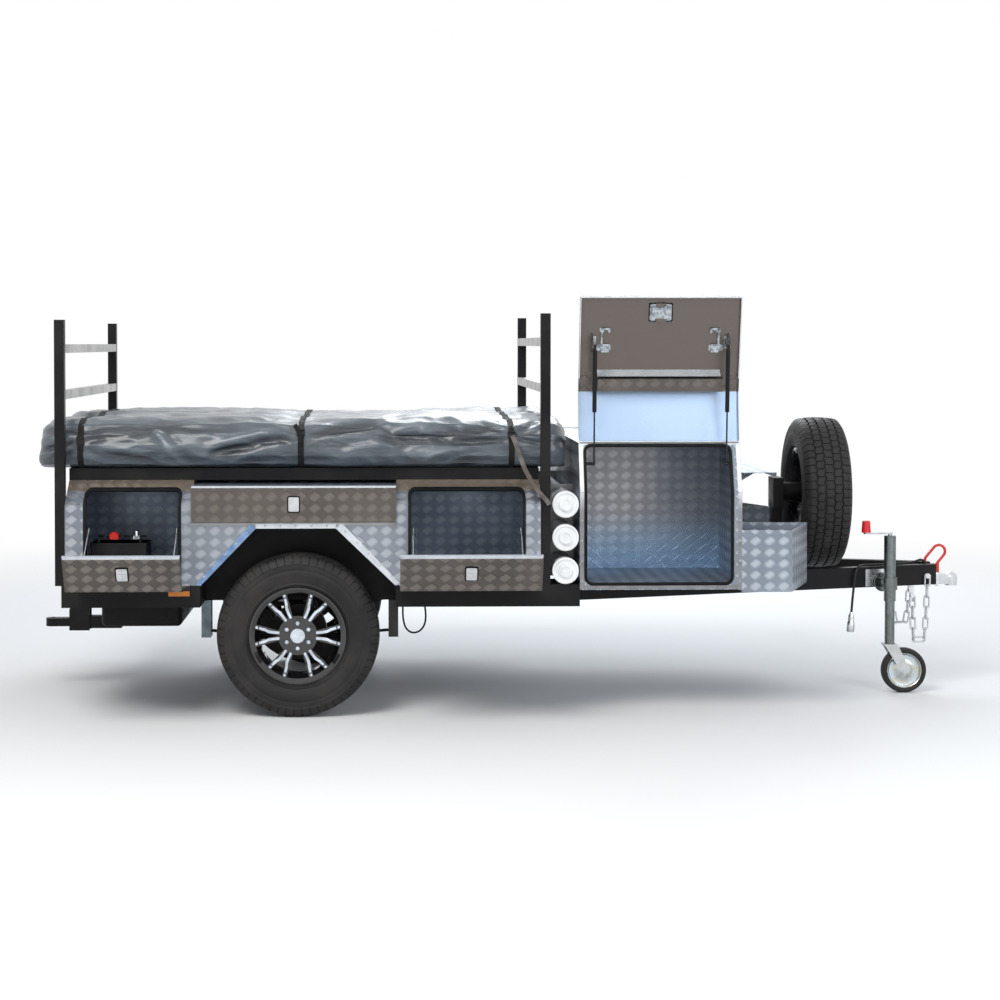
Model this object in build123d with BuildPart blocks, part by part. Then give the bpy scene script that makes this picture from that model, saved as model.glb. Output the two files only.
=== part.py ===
from build123d import *
from math import atan2, cos, degrees, hypot, radians, sin
import os

os.makedirs("parts", exist_ok=True)

# Off-road camper trailer in millimetres. X points to the coupling, Z is up from the
# ground, and the near side is -Y. The origin is on the ground below the middle of it.

# Lengths along X
body_rear = -2046
body_length = 2165
tube_bay = 180
box_length = 745
nose_reach = 1112
axle_setback = 1054
rear_overhang = 17
body_front = body_rear + body_length
box_rear = body_front + tube_bay
box_front = box_rear + box_length
nose_x = box_front + nose_reach
axle_x = body_rear + axle_setback
chassis_rear = body_rear - rear_overhang

# Widths and heights of the bodywork
half_width = 930
sheet = 3
body_bend_z = 980
body_rim_y = half_width - 145
body_rim_z = 1083

# Chassis sections
rail_height = 100
rail_width = 50
rail_offset = half_width - 305
drawbar_spread = half_width - 210
nose_spread = 60
floor_z = 610
chassis_z = floor_z - rail_height
rail_inner_y = rail_offset - rail_width / 2
rail_outer_y = rail_offset + rail_width / 2
sill_inner_y = half_width - rail_width

# Wheels, all three alike
tyre_radius = 375
tyre_width = 240
bead_radius = 205
rim_half_width = 100
rim_lip_radius = 222
spoke_pairs = 6
spoke_width = 22
nut_circle_radius = 70
spindle_radius = 18
running_gap = 0.05
wheel_y = half_width - tyre_width / 2

# Wheel arch opening in the side
arch_rear = axle_x - 442
arch_front = axle_x + 449
arch_top = 872
arch_top_rear = axle_x - 189
arch_top_front = axle_x + 177
arch_depth = 270

# Sides of the trailer: name and sign of Y
sides = [("near", -1), ("far", 1)]


def save(part, name):
    part.label = name
    export_step(part, f"parts/{name}.step")


def side_plane(side, x, y, z, opened=0):
    """Section plane across the trailer: local x points outboard, local y points up."""
    turn = radians(opened)
    out = (0, side * cos(turn), -sin(turn))
    return Plane(origin=(x, side * y, z), x_dir=out, z_dir=(side, 0, 0))


def drawbar_y(x):
    """Distance of a drawbar rail's middle from the centre line."""
    start = body_front + rail_width / 2
    return drawbar_spread + (nose_spread - drawbar_spread) * (x - start) / (nose_x - start)


drawbar_angle = atan2(drawbar_spread - nose_spread, nose_x - body_front - rail_width / 2)
drawbar_half = rail_width / 2 / cos(drawbar_angle)

# Main rails and sills, rectangular tube lying along X
rear_sill_end = arch_rear
front_sill_start = arch_front
long_rails = [
    # start x, end x, middle y
    (chassis_rear + rail_width, body_front - rail_width / 2, rail_offset),
    (chassis_rear + rail_width, rear_sill_end, half_width - rail_width / 2),
    (front_sill_start, box_rear, half_width - rail_width / 2),
]
with BuildPart() as chassis_rails:
    with BuildSketch(Plane.XY.offset(chassis_z)):
        for start, end, middle in long_rails:
            with Locations(((start + end) / 2, middle), ((start + end) / 2, -middle)):
                Rectangle(end - start, rail_width)
    extrude(amount=rail_height)
save(chassis_rails.part, "chassis_rails")

# Beams across the trailer, and the short outriggers that carry the sills
rear_beam_x = chassis_rear + rail_width / 2
inner_beams = [arch_rear + rail_width / 2, axle_x, arch_front - rail_width / 2]
outriggers = [arch_rear - rail_width / 2, arch_front + rail_width / 2]
with BuildPart() as cross_beams:
    with BuildSketch(Plane.XY.offset(chassis_z)):
        with Locations((rear_beam_x, 0)):
            Rectangle(rail_width, 2 * half_width)
        with Locations((body_front, 0)):
            Rectangle(rail_width, 2 * sill_inner_y)
        with Locations(*[(x, 0) for x in inner_beams]):
            Rectangle(rail_width, 2 * rail_inner_y)
        for x in outriggers:
            for side in (-1, 1):
                with Locations((x, side * (rail_outer_y + sill_inner_y) / 2)):
                    Rectangle(rail_width, sill_inner_y - rail_outer_y)
        for side in (-1, 1):
            with BuildLine():
                Polyline(
                    (box_rear - rail_width, side * (drawbar_y(box_rear - rail_width) + drawbar_half)),
                    (box_rear, side * (drawbar_y(box_rear) + drawbar_half)),
                    (box_rear, side * sill_inner_y),
                    (box_rear - rail_width, side * sill_inner_y),
                    close=True,
                )
            make_face()
    extrude(amount=rail_height)
save(cross_beams.part, "cross_beams")

# Drawbar rails, cut square to X at both ends
with BuildPart() as drawbar_rails:
    with BuildSketch(Plane.XY.offset(chassis_z)):
        for side in (-1, 1):
            start = body_front + rail_width / 2
            with BuildLine():
                Polyline(
                    (start, side * (drawbar_spread - drawbar_half)),
                    (start, side * (drawbar_spread + drawbar_half)),
                    (nose_x, side * (nose_spread + drawbar_half)),
                    (nose_x, side * (nose_spread - drawbar_half)),
                    close=True,
                )
            make_face()
    extrude(amount=rail_height)
save(drawbar_rails.part, "drawbar_rails")

# Coupling: nose plate, tapered neck and a round head with the ball socket under it
nose_plate = 12
coupling_reach = 115
coupling_radius = 31.5
coupling_wall = 6
coupling_z = 497
coupling_height = 46
neck_height = 50
neck_z = 505
neck_width = 46
coupling_tip = nose_x + nose_plate + coupling_reach
ball_x = coupling_tip - coupling_radius
socket_radius = coupling_radius - coupling_wall
socket_depth = 35
with BuildPart() as coupling_head:
    with BuildSketch(Plane.YZ.offset(nose_x)):
        with Locations((0, neck_z + neck_height * 0.6)):
            RectangleRounded(2 * (nose_spread + drawbar_half), neck_height * 1.4, 8)
    extrude(amount=nose_plate)
    with BuildSketch(Plane.XY.offset(neck_z)):
        with BuildLine():
            Polyline(
                (nose_x, -neck_width),
                (ball_x, -neck_width / 2),
                (ball_x, neck_width / 2),
                (nose_x, neck_width),
                close=True,
            )
        make_face()
    extrude(amount=neck_height)
    with BuildSketch(Plane(origin=(ball_x, 0, coupling_z), x_dir=(1, 0, 0), z_dir=(0, -1, 0))):
        with BuildLine():
            Polyline((0, 0), (coupling_radius, 0), (coupling_radius, coupling_height))
            RadiusArc((coupling_radius, coupling_height), (0, coupling_height + 22), -coupling_radius * 1.1)
            Line((0, coupling_height + 22), (0, 0))
        make_face()
    revolve(axis=Axis((ball_x, 0, 0), (0, 0, 1)))
    with Locations((ball_x, 0, coupling_z)):
        Cylinder(
            socket_radius, socket_depth,
            align=(Align.CENTER, Align.CENTER, Align.MIN), mode=Mode.SUBTRACT,
        )
save(coupling_head.part, "coupling_head")

# Release handle of the coupling: a kidney-shaped loop on a short lever
handle_x = nose_x + 15
handle_z = 644
handle_span = 60
handle_radius = 38
handle_bar = 13
handle_tilt = 50
with BuildPart() as coupling_handle:
    with BuildSketch(Plane(origin=(handle_x, 0, handle_z), x_dir=(1, 0, 0), z_dir=(0, -1, 0))):
        SlotCenterToCenter(handle_span, 2 * handle_radius, rotation=handle_tilt)
        SlotCenterToCenter(
            handle_span, 2 * (handle_radius - handle_bar), rotation=handle_tilt, mode=Mode.SUBTRACT
        )
    extrude(amount=handle_bar / 2, both=True)
    fillet(coupling_handle.edges().filter_by(GeomType.CIRCLE), handle_bar * 0.3)
    with BuildSketch(Plane.XY.offset(neck_z + neck_height)):
        with Locations((nose_x + nose_plate + 14, 0)):
            Rectangle(18, handle_bar)
    extrude(until=Until.NEXT, target=coupling_handle.part)
save(coupling_handle.part, "coupling_handle")

# Axle: square beam, backing plates and spindles
axle_size = 50
beam_end_y = wheel_y - 142
backing_radius = 125
backing_plate = 6
spindle_end_y = wheel_y - 10
with BuildPart() as axle_beam:
    with Locations((axle_x, 0, tyre_radius)):
        Box(axle_size, 2 * beam_end_y, axle_size)
    for side in (-1, 1):
        with BuildSketch(Plane(origin=(axle_x, side * beam_end_y, tyre_radius), z_dir=(0, side, 0))):
            Circle(backing_radius)
        extrude(amount=backing_plate)
        with BuildSketch(Plane(origin=(axle_x, side * beam_end_y, tyre_radius), z_dir=(0, side, 0))):
            Circle(spindle_radius)
        extrude(amount=spindle_end_y - beam_end_y)
save(axle_beam.part, "axle_beam")

# Leaf packs: five curved leaves under the axle, with an eye at each end of the main leaf
spring_span = 875
spring_sag = 20
leaf = 6
leaf_width = 60
leaf_count = 5
eye_radius = 18
half_span = spring_span / 2
leaf_radius = (half_span**2 + spring_sag**2) / (2 * spring_sag)
seat_drop = (axle_size / 2) ** 2 / (2 * leaf_radius)
spring_top = tyre_radius - axle_size / 2 - seat_drop
eye_z = spring_top + spring_sag + 2
spring_plane = Plane(origin=(axle_x, 0, spring_top + leaf_radius), x_dir=(1, 0, 0), z_dir=(0, -1, 0))
with BuildPart() as leaf_springs:
    for side in (-1, 1):
        with BuildSketch(spring_plane.offset(-side * rail_offset)):
            for step in range(leaf_count):
                half_leaf = half_span * (1 - step * 0.17)
                with BuildSketch(mode=Mode.PRIVATE) as one_leaf:
                    Circle(leaf_radius + (step + 1) * leaf)
                    Circle(leaf_radius + step * leaf, mode=Mode.SUBTRACT)
                    with Locations((0, -leaf_radius)):
                        Rectangle(2 * half_leaf, 12 * leaf_count, mode=Mode.INTERSECT)
                add(one_leaf.sketch)
            with Locations((-half_span, eye_z - spring_top - leaf_radius), (half_span, eye_z - spring_top - leaf_radius)):
                Circle(eye_radius)
        extrude(amount=leaf_width / 2, both=True)
save(leaf_springs.part, "leaf_springs")

# Hangers under the rails, one folded plate round each spring eye, and the axle clamps
hanger_plate = 6
hanger_length = 46
hanger_reach = 36
clamp_bolt = 12
clamp_plate = 8
pack_bottom = spring_top - leaf_count * leaf
with BuildPart() as spring_hangers:
    for side in (-1, 1):
        for end in (-1, 1):
            with Locations((axle_x + end * half_span, side * rail_offset, 0)):
                with Locations((0, 0, (chassis_z + eye_z - hanger_reach) / 2)):
                    Box(hanger_length, leaf_width + 2 * hanger_plate, chassis_z - eye_z + hanger_reach)
                with Locations((0, 0, (chassis_z - hanger_plate + eye_z - hanger_reach) / 2)):
                    Box(
                        hanger_length, leaf_width, chassis_z - hanger_plate - eye_z + hanger_reach,
                        mode=Mode.SUBTRACT,
                    )
        with Locations((axle_x, side * rail_offset, pack_bottom - clamp_plate / 2)):
            Box(axle_size + 4 * clamp_bolt, leaf_width + 2 * clamp_bolt, clamp_plate)
        clamp_top = tyre_radius + axle_size / 2 + clamp_bolt
        for across in (-1, 1):
            bolt_y = side * rail_offset + across * (leaf_width + clamp_bolt) / 2
            with Locations((axle_x, bolt_y, (pack_bottom + clamp_top) / 2)):
                Box(axle_size + 2 * clamp_bolt, clamp_bolt, clamp_top - pack_bottom)
                Box(axle_size, clamp_bolt, clamp_top - pack_bottom - 2 * clamp_bolt, mode=Mode.SUBTRACT)
save(spring_hangers.part, "spring_hangers")

# Outlines of folded sheet, worked out point by point
def moved_outline(points, distance):
    """The open outline moved sideways by distance, to the left of its travel."""
    steps = [(b[0] - a[0], b[1] - a[1]) for a, b in zip(points, points[1:])]
    normals = [(-dy / hypot(dx, dy), dx / hypot(dx, dy)) for dx, dy in steps]
    moved = []
    for index, (x, y) in enumerate(points):
        first = normals[max(index - 1, 0)]
        second = normals[min(index, len(normals) - 1)]
        share = distance / (1 + first[0] * second[0] + first[1] * second[1])
        moved.append((x + (first[0] + second[0]) * share, y + (first[1] + second[1]) * share))
    return moved


def trimmed_outline(points, start_cut, end_cut):
    """The same outline, shortened at its two ends."""
    (ax, ay), (bx, by) = points[0], points[1]
    (cx, cy), (dx, dy) = points[-1], points[-2]
    first = hypot(bx - ax, by - ay)
    last = hypot(dx - cx, dy - cy)
    start = (ax + (bx - ax) * start_cut / first, ay + (by - ay) * start_cut / first)
    end = (cx + (dx - cx) * end_cut / last, cy + (dy - cy) * end_cut / last)
    return [start, *points[1:-1], end]


def sheet_outline(points, thickness):
    """Closed outline of a folded sheet, its thickness to the left of travel."""
    return points + moved_outline(points, thickness)[::-1]


def pan(plane, points, width, depth, sign=1):
    """Folded pan: a panel along the outline with return lips all round."""
    with BuildPart() as shell:
        with BuildSketch(plane):
            with BuildLine():
                Polyline(*sheet_outline(points, sign * depth), close=True)
            make_face()
        extrude(amount=width / 2, both=True)
        inner = moved_outline(trimmed_outline(points, sheet, sheet), sign * sheet)
        with BuildSketch(plane):
            with BuildLine():
                Polyline(*sheet_outline(inner, sign * 2 * depth), close=True)
            make_face()
        extrude(amount=width / 2 - sheet, both=True, mode=Mode.SUBTRACT)
    return shell.part


# Side toolboxes in the body: their doors and the apertures behind them
door_gap = 5
pan_depth = 18
door_opening = 85
door_hinge_z = 612
hinge_radius = 3
hinge_offset = 4
aperture_z = 622
aperture_top = 1042
aperture_corner = 25
rear_door_x = body_rear + 58
rear_door_width = 510
front_door_x = arch_front + 19
front_door_width = body_front - 19 - front_door_x
side_doors = [
    # name, start x, width, aperture start from the door's start, aperture width
    ("door_rear", rear_door_x, rear_door_width, 33, rear_door_width - 82),
    ("door_front", front_door_x, front_door_width, 46, front_door_width - 103),
]

# Raised toolbox over each wheel arch
centre_start = rear_door_x + rear_door_width + 6
centre_end = arch_front + 2
centre_z = 895
centre_top = 1066
well_y = 330

# Side skins: one folded sheet a side with the arch and the apertures cut out
body_line = [(half_width, floor_z), (half_width, body_bend_z), (body_rim_y, body_rim_z)]
body_middle = (body_rear + body_front) / 2
arch_outline = [
    (arch_rear, floor_z),
    (arch_top_rear, arch_top),
    (arch_top_front, arch_top),
    (arch_front, floor_z),
]
for side_name, side in sides:
    with BuildPart() as side_skin:
        with BuildSketch(side_plane(side, body_middle, 0, 0)):
            with BuildLine():
                Polyline(*sheet_outline(body_line, sheet), close=True)
            make_face()
        extrude(amount=body_length / 2, both=True)
        with BuildSketch(Plane.XZ):
            with BuildLine():
                Polyline(*arch_outline, close=True)
            make_face()
            with Locations(((centre_start + centre_end) / 2, (centre_z + body_rim_z) / 2)):
                Rectangle(centre_end - centre_start, body_rim_z - centre_z + 2)
            for _, door_x, _, inset, width in side_doors:
                with Locations((door_x + inset + width / 2, (aperture_z + aperture_top) / 2)):
                    RectangleRounded(width, aperture_top - aperture_z, aperture_corner)
        extrude(amount=half_width + sheet, both=True, mode=Mode.SUBTRACT)
    save(side_skin.part, f"side_skin_{side_name}")

# Floors of the body and of the front box, notched round the wheels
with BuildPart() as floors:
    with BuildSketch(Plane.XY.offset(floor_z)):
        with Locations(((body_rear + body_front) / 2, 0)):
            Rectangle(body_length, 2 * (half_width - sheet))
        for side in (-1, 1):
            with Locations(((arch_rear + arch_front) / 2, side * (half_width - arch_depth / 2))):
                Rectangle(arch_front - arch_rear + 4 * sheet, arch_depth, mode=Mode.SUBTRACT)
        with Locations(((box_rear + box_front) / 2, 0)):
            Rectangle(box_length, 2 * (half_width - sheet))
    extrude(amount=sheet)
save(floors.part, "floors")

# Wheel arch liners: a folded strip over the tyre, closed by a wall towards the middle
arch_inner_y = half_width - arch_depth
with BuildPart() as arch_liners:
    for side in (-1, 1):
        with BuildSketch(Plane.XZ.offset(-side * arch_inner_y)):
            with BuildLine():
                Polyline(*sheet_outline(arch_outline, sheet), close=True)
            make_face()
        extrude(amount=-side * (arch_depth - sheet))
        with BuildSketch(Plane.XZ.offset(-side * arch_inner_y)):
            with BuildLine():
                Polyline(*arch_outline, close=True)
            make_face()
        extrude(amount=-side * sheet)
save(arch_liners.part, "arch_liners")

# Toolbox walls: each compartment has a back wall and a partition towards the wheel
inner_line = moved_outline(body_line, sheet)
rear_partition_x = centre_start - 2 * sheet
front_partition_x = centre_end + sheet
compartments = [
    # start x, end x, x of the partition
    (body_rear + sheet, rear_partition_x + sheet, rear_partition_x),
    (front_partition_x, body_front - sheet, front_partition_x),
]
with BuildPart() as toolbox_walls:
    for side in (-1, 1):
        for start, end, partition in compartments:
            with Locations(
                ((start + end) / 2, side * (well_y + sheet / 2), (floor_z + sheet + body_rim_z) / 2)
            ):
                Box(end - start, sheet, body_rim_z - floor_z - sheet)
            with BuildSketch(side_plane(side, partition + sheet / 2, 0, 0)):
                with BuildLine():
                    Polyline(
                        (well_y, floor_z + sheet),
                        (inner_line[0][0], floor_z + sheet),
                        *inner_line[1:],
                        (inner_line[-1][0], body_rim_z),
                        (well_y, body_rim_z),
                        close=True,
                    )
                make_face()
            extrude(amount=sheet / 2, both=True)
save(toolbox_walls.part, "toolbox_walls")

# Raised boxes over the arches, open towards their doors
with BuildPart() as centre_boxes:
    for side in (-1, 1):
        with Locations(
            ((centre_start + centre_end) / 2, side * (half_width + well_y) / 2, (centre_z + centre_top) / 2)
        ):
            Box(centre_end - centre_start, half_width - well_y, centre_top - centre_z)
        with Locations(
            (
                (centre_start + centre_end) / 2,
                side * (half_width + well_y + 2 * sheet) / 2,
                (centre_z + centre_top) / 2,
            )
        ):
            Box(
                centre_end - centre_start - 2 * sheet, half_width - well_y,
                centre_top - centre_z - 2 * sheet, mode=Mode.SUBTRACT,
            )
save(centre_boxes.part, "centre_boxes")

# End walls of the body; the rear one has the opening behind the tailgate
tailgate_width = 640
tailgate_z = 640
tailgate_top = 1062
opening_margin = 25
half_end = [
    (inner_line[0][0], floor_z + sheet),
    *inner_line[1:],
    (inner_line[-1][0], body_rim_z),
]
end_outline = [(-y, z) for y, z in half_end] + half_end[::-1]
with BuildPart() as end_walls:
    for start in (body_rear, body_front - sheet):
        with BuildSketch(Plane.YZ.offset(start)):
            with BuildLine():
                Polyline(*end_outline, close=True)
            make_face()
            if start == body_rear:
                with Locations((0, (tailgate_z + tailgate_top) / 2)):
                    RectangleRounded(
                        tailgate_width - 2 * opening_margin,
                        tailgate_top - tailgate_z - 2 * opening_margin,
                        aperture_corner, mode=Mode.SUBTRACT,
                    )
        extrude(amount=sheet)
save(end_walls.part, "end_walls")

# Top frame of rectangular tube with the bed board let into it
frame_height = 55
frame_width = 40
board = 12
frame_top = body_rim_z + frame_height
with BuildPart() as top_frame:
    with BuildSketch(Plane.XY.offset(body_rim_z)):
        with Locations((body_middle, 0)):
            Rectangle(body_length, 2 * body_rim_y)
    extrude(amount=frame_height)
    with BuildSketch(Plane.XY.offset(body_rim_z)):
        with Locations((body_middle, 0)):
            Rectangle(body_length - 2 * frame_width, 2 * (body_rim_y - frame_width))
    extrude(amount=frame_height - board, mode=Mode.SUBTRACT)
save(top_frame.part, "top_frame")

# Rack posts at the four corners, and the slats that join each pair across the trailer
post = 45
slat_height = 40
rear_post_top = 1820
front_post_top = 1850
post_y = half_width - post / 2
racks = [
    # middle x, top z, distance of each slat's middle below the top
    (body_rear - post / 2, rear_post_top, (131, 342)),
    (body_front + post / 2, front_post_top, (130, 340)),
]
with BuildPart() as rack_posts:
    for x, top, _ in racks:
        for side in (-1, 1):
            with Locations((x, side * post_y, (floor_z + top) / 2)):
                Box(post, post, top - floor_z)
save(rack_posts.part, "rack_posts")
with BuildPart() as rack_slats:
    for x, top, drops in racks:
        for drop in drops:
            with Locations((x, 0, top - drop)):
                Box(post, 2 * (half_width - post), slat_height)
save(rack_slats.part, "rack_slats")

# Rolled tent in its cover, strapped down on the top frame
tent_rear = body_rear - 140
tent_front = body_front + 135
tent_half_width = body_rim_y + 73
tent_base_half = body_rim_y - 5
tent_top = 1388
tent_end_radius = 75
tent_middle_z = frame_top + 95
with BuildPart() as tent_bundle:
    with BuildSketch(Plane.YZ.offset((tent_rear + tent_front) / 2)):
        with BuildLine():
            base = Line((-tent_base_half, frame_top), (tent_base_half, frame_top))
            right = ThreePointArc(
                base @ 1,
                (tent_half_width - 14, frame_top + 35),
                (tent_half_width, tent_middle_z),
            )
            shoulder = ThreePointArc(
                right @ 1,
                (tent_half_width - 35, tent_top - 60),
                (tent_half_width - 150, tent_top - 8),
            )
            crown = ThreePointArc(shoulder @ 1, (0, tent_top), (150 - tent_half_width, tent_top - 8))
            left_shoulder = ThreePointArc(
                crown @ 1,
                (35 - tent_half_width, tent_top - 60),
                (-tent_half_width, tent_middle_z),
            )
            ThreePointArc(
                left_shoulder @ 1,
                (14 - tent_half_width, frame_top + 35),
                base @ 0,
            )
        make_face()
    extrude(amount=(tent_front - tent_rear) / 2, both=True)
    tent_ends = tent_bundle.faces().filter_by(Axis.X)
    fillet(tent_ends.edges().filter_by(lambda edge: edge.center().Z > frame_top + 1), tent_end_radius)
save(tent_bundle.part, "tent_bundle")

# Front box: shell folded over the top, floor on the drawbar, ends and two partitions
skirt_z = 585
box_bend_z = 1031
box_rim_y = half_width - 85
box_top_z = 1255
box_middle = (box_rear + box_front) / 2
box_aperture_rear = 28
box_aperture_front = 46
box_aperture_width = box_length - box_aperture_rear - box_aperture_front
box_aperture_x = box_rear + box_aperture_rear + box_aperture_width / 2
box_aperture_z = 613
box_aperture_top = 1242
partition_y = 230
box_line = [
    (-half_width, skirt_z),
    (-half_width, box_bend_z),
    (-box_rim_y, box_top_z),
    (box_rim_y, box_top_z),
    (half_width, box_bend_z),
    (half_width, skirt_z),
]
box_inner_line = moved_outline(box_line, -sheet)
with BuildPart() as box_shell:
    with BuildSketch(Plane.YZ.offset(box_middle)):
        with BuildLine():
            Polyline(*sheet_outline(box_line, -sheet), close=True)
        make_face()
    extrude(amount=box_length / 2, both=True)
    with BuildSketch(Plane.XZ):
        with Locations((box_aperture_x, (box_aperture_z + box_aperture_top) / 2)):
            RectangleRounded(box_aperture_width, box_aperture_top - box_aperture_z, aperture_corner)
    extrude(amount=half_width + sheet, both=True, mode=Mode.SUBTRACT)
save(box_shell.part, "box_shell")

box_end_outline = [
    (box_inner_line[0][0], floor_z + sheet),
    *box_inner_line[1:-1],
    (box_inner_line[-1][0], floor_z + sheet),
]
with BuildPart() as box_ends:
    for start in (box_rear, box_front - sheet):
        with BuildSketch(Plane.YZ.offset(start)):
            with BuildLine():
                Polyline(*box_end_outline, close=True)
            make_face()
        extrude(amount=sheet)
save(box_ends.part, "box_ends")
with BuildPart() as box_partitions:
    for side in (-1, 1):
        with Locations(
            (box_middle, side * (partition_y + sheet / 2), (floor_z + box_top_z) / 2)
        ):
            Box(box_length - 2 * sheet, sheet, box_top_z - floor_z - 2 * sheet)
save(box_partitions.part, "box_partitions")

# Lids of the front box: a pan over the slope and the side, hinged along the top edge
lid_opening = 166.2
lid_width = box_length - 2
lid_axis_out = 4.5
lid_axis_up = 2
lid_start = 6
lid_bottom_z = 590
lid_axis_y = box_rim_y + lid_axis_out
lid_axis_z = box_top_z + lid_axis_up
lid_skin = [(box_rim_y, box_top_z), (half_width, box_bend_z), (half_width, lid_bottom_z)]
lid_line = [
    (y - lid_axis_y, z - lid_axis_z)
    for y, z in trimmed_outline(moved_outline(lid_skin, door_gap + pan_depth), lid_start, 0)
]
stiffener_size = 60
stiffener_length = box_length - 170
strut_spread = (box_length - 135) / 2
strut_eye = 7.5
strut_side_gap = 11
latch_width = 45
latch_height = 62
latch_proud = 4

# Gas strut pins across the trailer: the box end, and the lid end with the lid closed
strut_box_y = half_width - 45
strut_box_z = 1160
strut_lid_y = half_width - 53
strut_lid_z = 807.6
bracket_plate = 5
lid_poses = [
    # side name, sign, how far it stands open, whether it has struts
    ("near", -1, lid_opening, True),
    ("far", 1, 0, False),
]


def lid_plane(side, opened, x):
    """Section plane that turns with a lid about its hinge axis."""
    return side_plane(side, x, lid_axis_y, lid_axis_z, -opened)


for side_name, side, opened, has_struts in lid_poses:
    with BuildPart() as lid:
        add(pan(lid_plane(side, opened, box_middle), lid_line, lid_width, pan_depth, -1))
        inner_face = half_width + door_gap + pan_depth - sheet - lid_axis_y
        fold_b = lid_line[1][1]
        with BuildSketch(lid_plane(side, opened, box_middle)):
            with Locations((inner_face - stiffener_size / 2, fold_b - 8 - stiffener_size / 2)):
                Rectangle(stiffener_size, stiffener_size)
                Rectangle(stiffener_size - 2 * sheet, stiffener_size - 2 * sheet, mode=Mode.SUBTRACT)
        extrude(amount=stiffener_length / 2, both=True)
        with BuildSketch(lid_plane(side, opened, box_middle)):
            with Locations((inner_face + sheet + latch_proud / 2, lid_line[2][1] + 75)):
                Rectangle(latch_proud, latch_height)
            with Locations((inner_face - pan_depth / 2, lid_line[2][1] + 75)):
                Rectangle(pan_depth, latch_height + 25)
        extrude(amount=latch_width / 2, both=True)
        if has_struts:
            pin_a = strut_lid_y - lid_axis_y
            pin_b = strut_lid_z - lid_axis_z
            for end in (-1, 1):
                bracket_x = box_middle + end * (strut_spread + strut_side_gap / 2 + bracket_plate / 2 + 1)
                with BuildSketch(lid_plane(side, opened, bracket_x)):
                    with BuildLine():
                        Polyline(
                            (pin_a - strut_eye, pin_b - strut_eye),
                            (inner_face, pin_b - 45),
                            (inner_face, pin_b + 45),
                            (pin_a - strut_eye, pin_b + strut_eye),
                            close=True,
                        )
                    make_face()
                extrude(amount=bracket_plate / 2, both=True)
    save(lid.part, f"box_lid_{side_name}")

# Gas struts of the near lid, drawn where they stand with the lid open
turn = radians(lid_opening)
lid_pin_out = strut_lid_y - lid_axis_y
lid_pin_up = strut_lid_z - lid_axis_z
open_pin_y = lid_axis_y + lid_pin_out * cos(turn) - lid_pin_up * sin(turn)
open_pin_z = lid_axis_z + lid_pin_out * sin(turn) + lid_pin_up * cos(turn)
strut_open = hypot(open_pin_y - strut_box_y, open_pin_z - strut_box_z)
strut_closed = hypot(strut_lid_y - strut_box_y, strut_lid_z - strut_box_z)
strut_down = ((open_pin_y - strut_box_y) / strut_open, (strut_box_z - open_pin_z) / strut_open)
cylinder_radius = 10
rod_radius = 4
cylinder_length = 285
eye_neck = 18
rod_overlap = 40


def strut_plane(end, along):
    """Plane square to a strut, at a distance along it from the lid's pin."""
    return Plane(
        origin=(
            box_middle + end * strut_spread,
            -(open_pin_y - strut_down[0] * along),
            open_pin_z + strut_down[1] * along,
        ),
        x_dir=(1, 0, 0),
        z_dir=(0, strut_down[0], strut_down[1]),
    )


with BuildPart() as strut_cylinders:
    for end in (-1, 1):
        with BuildSketch(strut_plane(end, eye_neck)):
            Circle(cylinder_radius)
        extrude(amount=cylinder_length)
        with BuildSketch(strut_plane(end, eye_neck + 10)):
            Circle(rod_radius + running_gap)
        extrude(amount=cylinder_length, mode=Mode.SUBTRACT)
        with BuildSketch(strut_plane(end, 0)):
            Rectangle(strut_side_gap - 1, 2 * strut_eye)
        extrude(amount=eye_neck)
        with BuildSketch(Plane.YZ.offset(box_middle + end * strut_spread)):
            with Locations((-open_pin_y, open_pin_z)):
                Circle(strut_eye)
        extrude(amount=(strut_side_gap - 1) / 2, both=True)
save(strut_cylinders.part, "strut_cylinders")
with BuildPart() as strut_rods:
    for end in (-1, 1):
        with BuildSketch(strut_plane(end, eye_neck + cylinder_length - rod_overlap)):
            Circle(rod_radius)
        extrude(amount=strut_open - eye_neck - cylinder_length + rod_overlap)
        with BuildSketch(Plane.YZ.offset(box_middle + end * strut_spread)):
            with Locations((-strut_box_y, strut_box_z)):
                Circle(strut_eye)
        extrude(amount=(strut_side_gap - 1) / 2, both=True)
save(strut_rods.part, "strut_rods")

# Brackets on the aperture's edge that hold the rod ends
bracket_low = strut_box_z - strut_eye
bracket_high = strut_box_z + strut_eye
bracket_inner_y = strut_box_y - 24


def facet_y(z):
    """Inner face of the box's sloping side at height z, from the centre line."""
    (top_y, top_z), (low_y, low_z) = box_inner_line[3], box_inner_line[4]
    return low_y + (top_y - low_y) * (z - low_z) / (top_z - low_z)


with BuildPart() as strut_brackets:
    for end in (-1, 1):
        flange_end = box_aperture_x + end * (box_aperture_width / 2 + 20)
        plate_x = box_middle + end * (strut_spread + strut_side_gap / 2 + bracket_plate / 2 + 1)
        with BuildSketch(Plane.YZ.offset(plate_x)):
            with Locations((-(strut_box_y + bracket_inner_y + strut_eye) / 2, strut_box_z)):
                Rectangle(strut_box_y + strut_eye - bracket_inner_y, 2 * strut_eye)
        extrude(amount=bracket_plate / 2, both=True)
        with BuildSketch(Plane.YZ.offset((plate_x + flange_end) / 2)):
            with BuildLine():
                Polyline(
                    (-bracket_inner_y, bracket_low),
                    (-facet_y(bracket_low), bracket_low),
                    (-facet_y(bracket_high), bracket_high),
                    (-bracket_inner_y, bracket_high),
                    close=True,
                )
            make_face()
        extrude(amount=(abs(plate_x - flange_end) + bracket_plate) / 2, both=True)
save(strut_brackets.part, "strut_brackets")

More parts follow.
